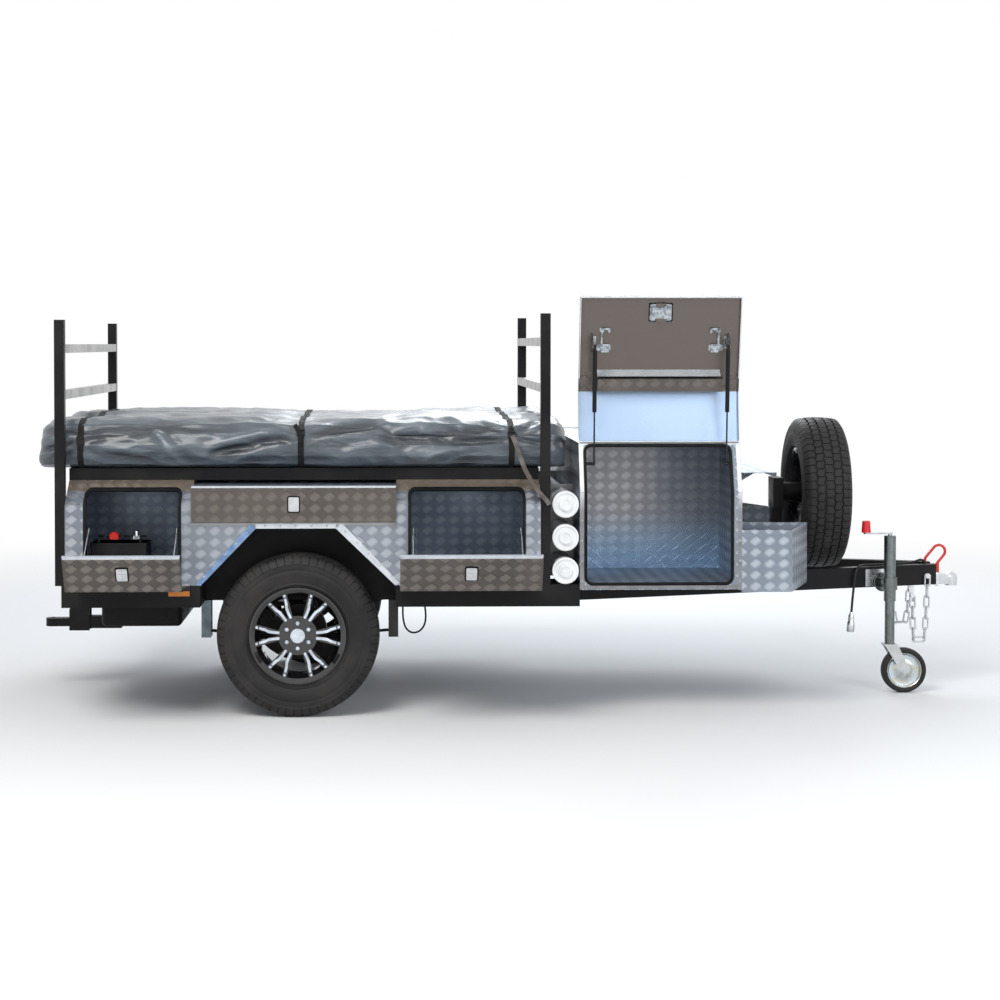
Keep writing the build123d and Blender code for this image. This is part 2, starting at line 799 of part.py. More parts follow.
# Side doors, hanging open on their stays
door_line = [
    (y - half_width - hinge_offset, z - door_hinge_z)
    for y, z in trimmed_outline(
        moved_outline(
            [(half_width, door_hinge_z + hinge_offset), (half_width, body_bend_z), (body_rim_y, body_rim_z)],
            -(door_gap + pan_depth),
        ),
        0, 6,
    )
]
door_hinge_y = half_width + hinge_offset


def latch_on(plane, a, b, lean):
    """Paddle latch plate on a pan's outer face, at (a, b) on a panel leaning by lean degrees."""
    with BuildPart() as latch:
        with BuildSketch(plane):
            with Locations(Location((a, b, 0), (0, 0, lean))):
                Rectangle(2 * latch_proud, latch_height)
        extrude(amount=latch_width / 2, both=True)
    return latch.part


facet_lean = degrees(atan2(half_width - body_rim_y, body_rim_z - body_bend_z))
for side_name, side in sides:
    for door_name, door_x, width, _, _ in side_doors:
        door_plane = side_plane(side, door_x + width / 2, door_hinge_y, door_hinge_z, door_opening)
        with BuildPart() as door:
            add(pan(door_plane, door_line, width, pan_depth))
            add(
                latch_on(
                    door_plane,
                    (door_line[1][0] + door_line[2][0]) / 2,
                    (door_line[1][1] + door_line[2][1]) / 2,
                    facet_lean,
                )
            )
        save(door.part, f"{door_name}_{side_name}")

# Doors of the raised boxes, closed
centre_hinge_z = centre_z + 2
centre_line = [
    (door_gap + pan_depth - hinge_offset, hinge_offset),
    (door_gap + pan_depth - hinge_offset, centre_top - centre_hinge_z),
]
for side_name, side in sides:
    centre_plane = side_plane(side, (centre_start + centre_end) / 2, door_hinge_y, centre_hinge_z)
    with BuildPart() as centre_door:
        add(pan(centre_plane, centre_line, centre_end - centre_start, pan_depth))
        add(latch_on(centre_plane, centre_line[0][0], (centre_top - centre_hinge_z) / 2, 0))
    save(centre_door.part, f"door_centre_{side_name}")

# Tailgate, closed
tailgate_hinge_z = tailgate_z - hinge_offset
tailgate_line = [
    (door_gap + pan_depth - hinge_offset, hinge_offset),
    (door_gap + pan_depth - hinge_offset, tailgate_top - tailgate_hinge_z),
]
tailgate_plane = Plane(
    origin=(body_rear - hinge_offset, 0, tailgate_hinge_z), x_dir=(-1, 0, 0), z_dir=(0, 1, 0)
)
with BuildPart() as tailgate:
    add(pan(tailgate_plane, tailgate_line, tailgate_width, pan_depth))
    for x in (-1, 1):
        with BuildSketch(Plane.YZ.offset(body_rear - door_gap - pan_depth - latch_proud)):
            with Locations((x * tailgate_width * 0.3, tailgate_top - 70)):
                Rectangle(latch_width, latch_height)
        extrude(amount=latch_proud)
save(tailgate.part, "tailgate")

# Piano hinges: a knuckle rod with one leaf on the body
leaf_plate = 2
leaf_drop = 14
side_hinges = [
    # middle x, width, hinge z
    *[(x + width / 2, width, door_hinge_z) for _, x, width, _, _ in side_doors],
    ((centre_start + centre_end) / 2, centre_end - centre_start, centre_hinge_z),
]
with BuildPart() as door_hinges:
    for side in (-1, 1):
        for x, width, z in side_hinges:
            with BuildSketch(side_plane(side, x, half_width, z)):
                with Locations((hinge_offset, 0)):
                    Circle(hinge_radius)
                with Locations((leaf_plate / 2, -leaf_drop / 2 + 1)):
                    Rectangle(leaf_plate, leaf_drop + 2)
            extrude(amount=width / 2 - sheet, both=True)
        with BuildSketch(side_plane(side, box_middle, box_rim_y, box_top_z)):
            with Locations((lid_axis_out, lid_axis_up)):
                Circle(hinge_radius)
            with Locations((lid_axis_out / 2 - leaf_drop / 2, leaf_plate / 2)):
                Rectangle(leaf_drop + lid_axis_out, leaf_plate)
        extrude(amount=lid_width / 2 - sheet, both=True)
    with BuildSketch(Plane(origin=(body_rear, 0, tailgate_hinge_z), x_dir=(-1, 0, 0), z_dir=(0, 1, 0))):
        with Locations((hinge_offset, 0)):
            Circle(hinge_radius)
        with Locations((leaf_plate / 2, -leaf_drop / 2 + 1)):
            Rectangle(leaf_plate, leaf_drop + 2)
    extrude(amount=tailgate_width / 2 - sheet, both=True)
save(door_hinges.part, "door_hinges")

# Storage tubes across the trailer with stepped end caps, in two punched plates
tube_x = body_front + 115
tube_radius = 56
cap_radius = 61
cap_length = 55
cap_step = 8
cap_boss_radius = 30
tube_gap = 30
tube_heights = [floor_z + cap_radius + 1 + row * (2 * cap_radius + tube_gap) for row in range(3)]
tube_plate_y = half_width - 380
tube_plate = 5
with BuildPart() as storage_tubes:
    for z in tube_heights:
        for side in (-1, 1):
            cap_start = half_width - cap_length - cap_step
            with BuildSketch(Plane.XZ.offset(-side * cap_start)):
                with Locations((tube_x, z)):
                    Circle(cap_radius)
            extrude(amount=-side * cap_length)
            with BuildSketch(Plane.XZ.offset(-side * (cap_start + cap_length))):
                with Locations((tube_x, z)):
                    Circle(cap_boss_radius)
            extrude(amount=-side * cap_step)
        with BuildSketch(Plane.XZ):
            with Locations((tube_x, z)):
                Circle(tube_radius)
        extrude(amount=half_width - cap_length, both=True)
save(storage_tubes.part, "storage_tubes")
with BuildPart() as tube_plates:
    for side in (-1, 1):
        with BuildSketch(Plane.XZ.offset(-side * tube_plate_y)):
            with Locations(((body_front + box_rear) / 2, floor_z)):
                Rectangle(
                    tube_bay, tube_heights[-1] + cap_radius + 8 - floor_z,
                    align=(Align.CENTER, Align.MIN),
                )
            for z in tube_heights:
                with Locations((tube_x, z)):
                    Circle(tube_radius, mode=Mode.SUBTRACT)
        extrude(amount=tube_plate / 2, both=True)
save(tube_plates.part, "tube_plates")

# Open-topped holders beside the drawbar, one a side, and the tray between them
holder_z = 573
holder_top = 856
holder_straight = 231
holder_length = 378
holder_inner_y = half_width - 430
with BuildPart() as front_holders:
    for side in (-1, 1):
        holder_outline = [
            (box_front, side * holder_inner_y),
            (box_front, side * half_width),
            (box_front + holder_straight, side * half_width),
            (box_front + holder_length, side * (holder_inner_y + 20)),
            (box_front + holder_length, side * holder_inner_y),
        ]
        with BuildSketch(Plane.XY.offset(holder_z)):
            with BuildLine():
                Polyline(*holder_outline, close=True)
            make_face()
        extrude(amount=holder_top - holder_z)
        with BuildSketch(Plane.XY.offset(holder_z + sheet)):
            with BuildLine():
                Polyline(*holder_outline, close=True)
            make_face()
            offset(amount=-sheet, kind=Kind.INTERSECTION)
        extrude(amount=holder_top - holder_z, mode=Mode.SUBTRACT)
save(front_holders.part, "front_holders")

tray_length = 270
tray_plate = 5
tray_lip = 45
with BuildPart() as front_tray:
    with Locations((box_front + tray_length / 2, 0, floor_z + tray_plate / 2)):
        Box(tray_length, 2 * holder_inner_y, tray_plate)
    with Locations((box_front + tray_length - tray_plate / 2, 0, floor_z + tray_lip / 2)):
        Box(tray_plate, 2 * holder_inner_y, tray_lip)
save(front_tray.part, "front_tray")

# Folding worktop shelf on the front of the box, held by two gussets
shelf_z = 1060
shelf_length = 340
shelf_start_y = 85
shelf_end_y = half_width - 30
shelf_edge = 24
gusset_length = 240
with BuildPart() as front_shelf:
    with Locations(
        (box_front + shelf_length / 2, (shelf_start_y + shelf_end_y) / 2, shelf_z - sheet / 2)
    ):
        Box(shelf_length, shelf_end_y - shelf_start_y, sheet)
    with Locations(
        (box_front + shelf_length - sheet / 2, (shelf_start_y + shelf_end_y) / 2, shelf_z - shelf_edge / 2)
    ):
        Box(sheet, shelf_end_y - shelf_start_y, shelf_edge)
    for y in (shelf_start_y + 60, shelf_end_y - 60):
        with BuildSketch(Plane.XZ.offset(-y)):
            with BuildLine():
                Polyline(
                    (box_front, shelf_z - sheet),
                    (box_front + gusset_length, shelf_z - sheet),
                    (box_front, shelf_z - sheet - gusset_length * 0.6),
                    close=True,
                )
            make_face()
        extrude(amount=sheet)
save(front_shelf.part, "front_shelf")

# Spare wheel carrier: a beam over the drawbar, a post and a stub that fills the hub
spare_ahead = 520
spare_x = box_front + spare_ahead
spare_z = 968
hub_face = 58
carrier_beam = 50
carrier_x = box_front + 321
post_width = 80
carrier_plate = 150
stub_radius = 50
with BuildPart() as spare_carrier:
    with Locations((carrier_x, 0, floor_z + carrier_beam / 2)):
        Box(carrier_beam, 2 * drawbar_y(carrier_x), carrier_beam)
    with Locations((carrier_x, 0, (floor_z + carrier_beam + spare_z) / 2)):
        Box(carrier_beam, post_width, spare_z - floor_z - carrier_beam)
    with Locations((carrier_x, 0, spare_z)):
        Box(carrier_beam, carrier_plate, carrier_plate)
    with BuildSketch(Plane.YZ.offset(carrier_x)):
        with Locations((0, spare_z)):
            Circle(stub_radius)
    extrude(amount=spare_x + hub_face - carrier_x)
save(spare_carrier.part, "spare_carrier")

# Road wheels and spare: one rim and one tyre section, turned about each wheel's axis
disc_thickness = 22
hub_disc_radius = 90
cap_cover_radius = 34
cap_cover_height = 12
nut_radius = 10
nut_height = 16
drum_radius = 128
drum_wall = 10
drum_gap = 5
tread_half = 88
rim_barrel = [
    # radius, distance from the wheel's middle plane towards its outer face
    (rim_lip_radius, rim_half_width),
    (rim_lip_radius, rim_half_width - 7),
    (bead_radius, rim_half_width - 10),
    (bead_radius - 1, rim_half_width - 38),
    (bead_radius - 17, rim_half_width - 54),
    (bead_radius - 17, 30 - rim_half_width + 40),
    (bead_radius - 1, 38 - rim_half_width),
    (bead_radius, 10 - rim_half_width),
    (rim_lip_radius, 7 - rim_half_width),
    (rim_lip_radius, -rim_half_width),
    (rim_lip_radius - 8, -rim_half_width),
    (bead_radius - 8, 16 - rim_half_width),
    (bead_radius - 9, 42 - rim_half_width),
    (bead_radius - 25, 30 - rim_half_width + 44),
    (bead_radius - 25, rim_half_width - 58),
    (bead_radius - 9, rim_half_width - 40),
    (bead_radius - 8, rim_half_width - 14),
    (rim_lip_radius - 8, rim_half_width),
]
spoke_inner = hub_disc_radius - 10
spoke_outer = bead_radius - 4
pair_inner = 7
pair_outer = 12
wheels = [
    # name, centre, radial direction in the section, outward direction of the axle
    ("near", (axle_x, -wheel_y, tyre_radius), (1, 0, 0), (0, -1, 0)),
    ("far", (axle_x, wheel_y, tyre_radius), (1, 0, 0), (0, 1, 0)),
    ("spare", (spare_x, 0, spare_z), (0, 1, 0), (1, 0, 0)),
]


def polar(radius, angle):
    return (radius * cos(radians(angle)), radius * sin(radians(angle)))


def spoke_outline(angle_in, angle_out, width):
    """Straight tapered spoke between two angles, as a closed outline."""
    (ax, ay), (bx, by) = polar(spoke_inner, angle_in), polar(spoke_outer, angle_out)
    reach = hypot(bx - ax, by - ay)
    nx, ny = -(by - ay) / reach * width / 2, (bx - ax) / reach * width / 2
    return [(ax + nx, ay + ny), (bx + nx, by + ny), (bx - nx, by - ny), (ax - nx, ay - ny)]


for wheel_name, centre, radial, axle in wheels:
    axle_vector = Vector(*axle)
    section = Plane(origin=centre, x_dir=radial, z_dir=Vector(*radial).cross(axle_vector))
    face_plane = Plane(origin=centre, x_dir=radial, z_dir=axle)
    wheel_axis = Axis(centre, axle)
    with BuildPart() as rim:
        with BuildSketch(section):
            with BuildLine():
                Polyline(*rim_barrel, close=True)
            make_face()
        revolve(axis=wheel_axis)
        with BuildSketch(face_plane.offset(hub_face)):
            Circle(hub_disc_radius)
            with PolarLocations(0, spoke_pairs):
                for sign in (-1, 1):
                    Polygon(*spoke_outline(sign * pair_inner, sign * pair_outer, spoke_width), align=None)
        extrude(amount=disc_thickness)
        with BuildSketch(face_plane.offset(hub_face + disc_thickness)):
            with PolarLocations(nut_circle_radius, spoke_pairs, start_angle=30):
                RegularPolygon(nut_radius, 6)
        extrude(amount=nut_height)
        with BuildSketch(face_plane.offset(hub_face + disc_thickness)):
            Circle(cap_cover_radius)
        extrude(amount=cap_cover_height, taper=12)
    save(rim.part, f"rim_{wheel_name}")
    with BuildPart() as tyre:
        with BuildSketch(section):
            with BuildLine():
                bead = Line((bead_radius + 1, 11 - rim_half_width), (bead_radius + 1, rim_half_width - 11))
                lip = Line(bead @ 1, (rim_lip_radius, rim_half_width - 8))
                flare = Line(lip @ 1, (rim_lip_radius + 5, rim_half_width + 1))
                wall = ThreePointArc(
                    flare @ 1,
                    (rim_lip_radius + 66, tyre_width / 2),
                    (tyre_radius - 32, tyre_width / 2 - 8),
                )
                shoulder = Line(wall @ 1, (tyre_radius - 8, tread_half + 6))
                crown = ThreePointArc(shoulder @ 1, (tyre_radius, 0), (tyre_radius - 8, -tread_half - 6))
                back_shoulder = Line(crown @ 1, (tyre_radius - 32, 8 - tyre_width / 2))
                back_wall = ThreePointArc(
                    back_shoulder @ 1,
                    (rim_lip_radius + 66, -tyre_width / 2),
                    (rim_lip_radius + 5, -rim_half_width - 1),
                )
                back_lip = Line(back_wall @ 1, (rim_lip_radius, 8 - rim_half_width))
                Line(back_lip @ 1, bead @ 0)
            make_face()
        revolve(axis=wheel_axis)
    save(tyre.part, f"tyre_{wheel_name}")

# Brake drums with the hubs that turn on the spindles
drum_back = beam_end_y + backing_plate + drum_gap - wheel_y
drum_front = drum_back + 72
hub_radius = 45
hub_flange_radius = 62
for wheel_name, centre, radial, axle in wheels[:2]:
    section = Plane(origin=centre, x_dir=radial, z_dir=Vector(*radial).cross(Vector(*axle)))
    bore = spindle_radius + running_gap
    spindle_end = spindle_end_y - wheel_y + 2
    with BuildPart() as drum:
        with BuildSketch(section):
            with BuildLine():
                Polyline(
                    (bore, drum_back + 20),
                    (hub_radius, drum_back + 20),
                    (hub_radius, drum_front - drum_wall),
                    (drum_radius - drum_wall, drum_front - drum_wall),
                    (drum_radius - drum_wall, drum_back),
                    (drum_radius, drum_back),
                    (drum_radius, drum_front),
                    (hub_flange_radius, drum_front),
                    (hub_flange_radius, hub_face),
                    (0, hub_face),
                    (0, spindle_end),
                    (bore, spindle_end),
                    close=True,
                )
            make_face()
        revolve(axis=Axis(centre, axle))
    save(drum.part, f"drum_{wheel_name}")

# Jockey wheel on a swing bracket, outside the near drawbar rail
jockey_ahead = 837
jockey_x = box_front + jockey_ahead
jockey_stand_off = 85
bracket_thickness = 8
bracket_z = 515
bracket_height = 84
pivot_z = 535
pivot_radius = 8
swing_gap = 5
swing_plate = 6
tube_outer = 29
leg_radius = 24
tube_bottom = 450
tube_top = 770
leg_bottom = 240
leg_plug = 16
leg_wall = 4
stem_radius = 12
caster_wheel_radius = 110
caster_wheel_width = 60
caster_trail = 69
caster_pin = 8
fork_plate = 4
fork_gap = 6
fork_top = leg_bottom - 0.5
crank_arm = 118
crank_bar = 8
knob_radius = 23
knob_height = 58
rail_direction = (cos(drawbar_angle), sin(drawbar_angle), 0)
rail_normal = (sin(drawbar_angle), -cos(drawbar_angle), 0)
rail_face_y = -drawbar_y(jockey_x) - drawbar_half
jockey_shift = jockey_stand_off / cos(drawbar_angle)
jockey_y = rail_face_y - jockey_shift
foot_x = jockey_x - jockey_stand_off * sin(drawbar_angle)
foot_y = jockey_y + jockey_stand_off * cos(drawbar_angle)
rail_plane = Plane(origin=(foot_x, foot_y, 0), x_dir=rail_direction, z_dir=rail_normal)
with BuildPart() as jockey_bracket:
    with BuildSketch(rail_plane):
        with BuildLine():
            Polyline(
                (-90, bracket_z),
                (40, bracket_z),
                (55, bracket_z + 20),
                (55, bracket_z + bracket_height),
                (-90, bracket_z + bracket_height),
                close=True,
            )
        make_face()
    extrude(amount=bracket_thickness)
    with BuildSketch(rail_plane.offset(bracket_thickness)):
        with Locations((0, pivot_z)):
            Circle(22)
    extrude(amount=swing_gap)
    with BuildSketch(rail_plane.offset(bracket_thickness + swing_gap)):
        with Locations((0, pivot_z)):
            Circle(pivot_radius)
    extrude(amount=swing_plate)
save(jockey_bracket.part, "jockey_bracket")

swing_start = bracket_thickness + swing_gap
with BuildPart() as jockey_tube:
    with BuildSketch(Plane.XY.offset(tube_bottom)):
        with Locations((jockey_x, jockey_y)):
            Circle(tube_outer)
    extrude(amount=tube_top - tube_bottom)
    with BuildSketch(Plane.XY.offset(pivot_z - 30)):
        with Locations((jockey_x, jockey_y)):
            Circle(tube_outer + 7)
    extrude(amount=60)
    with BuildSketch(rail_plane.offset(swing_start)):
        with Locations((0, pivot_z)):
            Circle(46)
    extrude(amount=swing_plate)
    for z in (pivot_z - 24, pivot_z + 24):
        with BuildSketch(rail_plane.offset(swing_start + swing_plate)):
            with Locations((0, z)):
                Rectangle(50, 10)
        extrude(amount=jockey_stand_off - swing_start - swing_plate - tube_outer + 8)
    with BuildSketch(rail_plane.offset(swing_start)):
        with Locations((0, pivot_z)):
            Circle(pivot_radius + running_gap)
    extrude(amount=swing_plate + 1, mode=Mode.SUBTRACT)
    with BuildSketch(Plane.XY.offset(tube_bottom)):
        with Locations((jockey_x, jockey_y)):
            Circle(leg_radius + running_gap)
    extrude(amount=tube_top - tube_bottom - leg_wall, mode=Mode.SUBTRACT)
save(jockey_tube.part, "jockey_tube")

with BuildPart() as jockey_leg:
    with BuildSketch(Plane.XY.offset(leg_bottom)):
        with Locations((jockey_x, jockey_y)):
            Circle(leg_radius)
    extrude(amount=300)
    with BuildSketch(Plane.XY.offset(leg_bottom + leg_plug)):
        with Locations((jockey_x, jockey_y)):
            Circle(leg_radius - leg_wall)
    extrude(amount=300, mode=Mode.SUBTRACT)
    with BuildSketch(Plane.XY.offset(leg_bottom)):
        with Locations((jockey_x, jockey_y)):
            Circle(stem_radius + running_gap)
    extrude(amount=leg_plug, mode=Mode.SUBTRACT)
save(jockey_leg.part, "jockey_leg")

fork_half = caster_wheel_width / 2 + fork_gap
with BuildPart() as jockey_fork:
    with BuildSketch(Plane.XY.offset(fork_top - 8)):
        with Locations((jockey_x, jockey_y)):
            Rectangle(64, 2 * (fork_half + fork_plate))
    extrude(amount=8)
    with BuildSketch(Plane.XY.offset(fork_top)):
        with Locations((jockey_x, jockey_y)):
            Circle(stem_radius)
    extrude(amount=leg_plug)
    for side in (-1, 1):
        with BuildSketch(Plane.XZ.offset(-jockey_y - side * (fork_half + fork_plate / 2))):
            with BuildLine():
                Polyline(
                    (jockey_x - 32, fork_top),
                    (jockey_x + 32, fork_top),
                    (jockey_x + caster_trail + 22, caster_wheel_radius + 8),
                    (jockey_x + caster_trail, caster_wheel_radius - 20),
                    (jockey_x + caster_trail - 30, caster_wheel_radius + 10),
                    close=True,
                )
            make_face()
        extrude(amount=fork_plate / 2, both=True)
    with BuildSketch(Plane.XZ.offset(-jockey_y)):
        with Locations((jockey_x + caster_trail, caster_wheel_radius)):
            Circle(caster_pin)
    extrude(amount=fork_half + fork_plate + 4, both=True)
save(jockey_fork.part, "jockey_fork")

caster_centre = (jockey_x + caster_trail, jockey_y, caster_wheel_radius)
caster_section = Plane(origin=caster_centre, x_dir=(1, 0, 0), z_dir=(0, 0, -1))
caster_half = caster_wheel_width / 2
with BuildPart() as jockey_wheel:
    with BuildSketch(caster_section):
        with BuildLine():
            hub_line = Polyline(
                (caster_pin + running_gap, -caster_half + 2),
                (caster_pin + 12, -caster_half + 2),
                (caster_pin + 14, -12),
                (66, -9),
                (72, -caster_half + 6),
                (caster_wheel_radius - 12, -caster_half + 4),
            )
            tread = ThreePointArc(
                hub_line @ 1,
                (caster_wheel_radius, 0),
                (caster_wheel_radius - 12, caster_half - 4),
            )
            Polyline(
                tread @ 1,
                (72, caster_half - 6),
                (66, 9),
                (caster_pin + 14, 12),
                (caster_pin + 12, caster_half - 2),
                (caster_pin + running_gap, caster_half - 2),
                (caster_pin + running_gap, -caster_half + 2),
            )
        make_face()
    revolve(axis=Axis(caster_centre, (0, 1, 0)))
save(jockey_wheel.part, "jockey_wheel")

crank_z = tube_top + 8
with BuildPart() as jockey_crank:
    with BuildSketch(Plane.XY.offset(tube_top + 0.5)):
        with Locations((jockey_x, jockey_y)):
            Circle(caster_pin + 2)
    extrude(amount=crank_z - tube_top)
    with BuildSketch(Plane.XY.offset(crank_z)):
        with Locations((jockey_x - crank_arm / 2, jockey_y)):
            SlotCenterToCenter(crank_arm, 26)
    extrude(amount=crank_bar)
    with BuildSketch(Plane.XY.offset(crank_z + crank_bar)):
        with Locations((jockey_x - crank_arm, jockey_y)):
            Circle(knob_radius)
    extrude(amount=knob_height, taper=4)
    fillet(jockey_crank.faces().sort_by(Axis.Z)[-1].edges(), 7)
save(jockey_crank.part, "jockey_crank")

# Battery in the rear near toolbox
battery_x = body_rear + 90
battery_length = 262
battery_width = 172
battery_height = 176
battery_y = -(half_width - 175 - battery_width / 2)
with BuildPart() as battery:
    with Locations((battery_x + battery_length / 2, battery_y, floor_z + sheet + battery_height / 2)):
        Box(battery_length, battery_width, battery_height)
    fillet(battery.edges().filter_by(Axis.Z), 8)
    for end in (-1, 1):
        with Locations(
            (
                battery_x + battery_length / 2 + end * (battery_length / 2 - 35),
                battery_y - battery_width / 2 + 35,
                floor_z + sheet + battery_height,
            )
        ):
            Cylinder(9, 18, align=(Align.CENTER, Align.CENTER, Align.MIN))
save(battery.part, "battery")

# Tail lamps on the rear wall and amber reflectors on the rear sills
lamp_width = 190
lamp_height = 95
lamp_depth = 34
lamp_y = half_width - 185
lamp_z = 730
reflector_length = 96
reflector_height = 24
reflector_thickness = 5
reflector_x = arch_rear - 95
with BuildPart() as lamps:
    for side in (-1, 1):
        with BuildSketch(Plane.YZ.offset(body_rear)):
            with Locations((side * lamp_y, lamp_z)):
                RectangleRounded(lamp_width, lamp_height, 12)
        extrude(amount=-lamp_depth)
        with Locations(
            (reflector_x, side * (half_width + reflector_thickness / 2), chassis_z + 64)
        ):
            Box(reflector_length, reflector_thickness, reflector_height)
save(lamps.part, "lamps")

# Rear hitch: two side plates behind the rear beam, a receiver tube and a tongue
tongue_tip = body_rear - 237
hitch_plate = 10
hitch_plate_x = chassis_rear - 100
receiver_size = 60
receiver_z = 328
receiver_front = chassis_rear + 157
tongue_thickness = 40
tongue_bore = 12.5
tongue_bore_x = tongue_tip + 34
with BuildPart() as rear_hitch:
    for side in (-1, 1):
        with BuildSketch(Plane.XZ.offset(-side * (receiver_size / 2 + hitch_plate / 2))):
            with BuildLine():
                Polyline(
                    (chassis_rear, floor_z - 8),
                    (chassis_rear, receiver_z - 40),
                    (hitch_plate_x, receiver_z - 40),
                    (hitch_plate_x, receiver_z + 60),
                    (chassis_rear - 45, floor_z - 8),
                    close=True,
                )
            make_face()
        extrude(amount=hitch_plate / 2, both=True)
    with Locations(((hitch_plate_x + receiver_front) / 2, 0, receiver_z)):
        Box(receiver_front - hitch_plate_x, receiver_size, receiver_size)
    with BuildSketch(Plane.XY.offset(receiver_z - tongue_thickness / 2)):
        with Locations((tongue_bore_x, 0)):
            Circle(tongue_bore_x - tongue_tip)
        with Locations(((tongue_bore_x + hitch_plate_x) / 2, 0)):
            Rectangle(hitch_plate_x - tongue_bore_x, 2 * (tongue_bore_x - tongue_tip) - 8)
    extrude(amount=tongue_thickness)
    with BuildSketch(Plane.XY.offset(receiver_z - tongue_thickness / 2)):
        with Locations((tongue_bore_x, 0)):
            Circle(tongue_bore)
    extrude(amount=tongue_thickness, mode=Mode.SUBTRACT)
save(rear_hitch.part, "rear_hitch")

# Water tank between the rails, behind the axle
tank_x = body_rear + 110
tank_length = 380
tank_half_width = rail_inner_y - 60
tank_height = 138
with BuildPart() as water_tank:
    with Locations((tank_x + tank_length / 2, 0, chassis_z - tank_height / 2)):
        Box(tank_length, 2 * tank_half_width, tank_height)
    fillet(water_tank.edges().filter_by(lambda edge: edge.center().Z < chassis_z - 1), 24)
save(water_tank.part, "water_tank")

# Safety chains: each hangs in a loop from a bolt on the rail's face to a lug under the rail,
# so that the long links stay off the ground. A chain and its bolts are one body of metal.
chain_wire = 9
chain_bevel = 2.6
link_length = 70
link_width = 33
link_corner = 9
link_step = 53.4
chain_bolt_radius = 6
chain_bolt_head = 11
chain_bolt_z = 560
chain_drop = 18
chain_lug = 6
lug_height = 84
chains = [
    # name, side, X of the upper bolt, stand-off from the middle, lean of each link from straight down
    ("near", -1, nose_x - 53, 122, (1, 2, 2, 3, 3, 5, 90, 177, 178, 179, 179)),
    ("far", 1, nose_x - 81, 128, (2, 3, 3, 5, 10, 88, 170, 174, 177)),
]


def link_outline(length, width, corner):
    """Octagon of a chain link seen from its flat side."""
    return [
        (length / 2 - corner, width / 2),
        (corner - length / 2, width / 2),
        (-length / 2, width / 2 - corner),
        (-length / 2, corner - width / 2),
        (corner - length / 2, -width / 2),
        (length / 2 - corner, -width / 2),
        (length / 2, corner - width / 2),
        (length / 2, width / 2 - corner),
    ]


with BuildPart() as chain_link:
    with BuildSketch():
        Polygon(*link_outline(link_length, link_width, link_corner), align=None)
        Polygon(
            *link_outline(
                link_length - 2 * chain_wire, link_width - 2 * chain_wire, link_corner - 0.6 * chain_wire
            ),
            align=None, mode=Mode.SUBTRACT,
        )
    extrude(amount=chain_wire / 2, both=True)
    chamfer(chain_link.faces().filter_by(Axis.Z).edges(), chain_bevel)
with BuildPart() as safety_chains:
    for _, side, bolt_x, chain_y, leans in chains:
        x, z = bolt_x, chain_bolt_z
        for number, lean in enumerate(leans):
            step_x = -link_step * sin(radians(lean))
            step_z = -link_step * cos(radians(lean))
            middle = (x + step_x / 2, side * chain_y, z + step_z / 2)
            facing = (0, 1, 0) if number % 2 == 0 else (step_z, 0, -step_x)
            add(chain_link.part.moved(Plane(middle, x_dir=(step_x, 0, step_z), z_dir=facing).location))
            x += step_x
            z += step_z
        for bolt_place, bolt_z, inner_y in (
            (bolt_x, chain_bolt_z - chain_bolt_radius, drawbar_y(bolt_x)),
            (x, z + chain_wire / 2, chain_y - chain_drop),
        ):
            bolt_plane = Plane(origin=(bolt_place, side * inner_y, bolt_z), z_dir=(0, side, 0))
            with BuildSketch(bolt_plane):
                Circle(chain_bolt_radius)
            extrude(amount=chain_y - inner_y + chain_bolt_radius)
            with BuildSketch(bolt_plane.offset(chain_y - inner_y + chain_bolt_radius)):
                RegularPolygon(chain_bolt_head, 6)
            extrude(amount=chain_bolt_radius)
        with Locations((x, side * (chain_y - chain_drop), chassis_z - lug_height / 2)):
            Box(4 * chain_bolt_radius, chain_lug, lug_height)
    add(drawbar_rails.part, mode=Mode.SUBTRACT)
save(safety_chains.part, "safety_chains")
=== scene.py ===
import bpy
import bmesh
import math
import random
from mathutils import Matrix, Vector, noise
from mathutils.bvhtree import BVHTree


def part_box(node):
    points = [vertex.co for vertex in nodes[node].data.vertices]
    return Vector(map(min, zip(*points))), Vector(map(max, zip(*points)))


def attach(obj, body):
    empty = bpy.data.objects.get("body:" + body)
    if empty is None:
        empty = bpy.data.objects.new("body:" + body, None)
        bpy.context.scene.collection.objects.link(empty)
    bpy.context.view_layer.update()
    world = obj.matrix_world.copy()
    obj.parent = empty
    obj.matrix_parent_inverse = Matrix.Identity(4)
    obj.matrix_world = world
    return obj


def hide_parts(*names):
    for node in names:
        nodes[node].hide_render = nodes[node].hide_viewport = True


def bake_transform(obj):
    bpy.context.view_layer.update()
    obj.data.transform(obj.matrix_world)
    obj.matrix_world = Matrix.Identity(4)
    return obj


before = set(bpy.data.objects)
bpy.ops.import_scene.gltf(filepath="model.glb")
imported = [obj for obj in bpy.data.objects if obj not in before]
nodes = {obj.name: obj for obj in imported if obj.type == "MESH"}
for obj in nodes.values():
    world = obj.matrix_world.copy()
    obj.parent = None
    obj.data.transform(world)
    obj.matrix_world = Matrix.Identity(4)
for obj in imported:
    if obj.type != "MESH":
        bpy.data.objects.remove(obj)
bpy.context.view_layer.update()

# Stage: the trailer is seen square from its near side, a little above the tub, on a pale
# studio floor that runs out to white. One long lens keeps the drawbar almost parallel.
frame_px = 1000
lens_px = 2130
sensor_mm = 36
camera_place = (-0.546, -10.63, 1.71)
vanishing_px = (395, 344)
yaw = math.radians(1.6)
pitch = math.radians(1.5)


def place_in_scene(name, data):
    made = bpy.data.objects.new(name, data)
    bpy.context.scene.collection.objects.link(made)
    return made


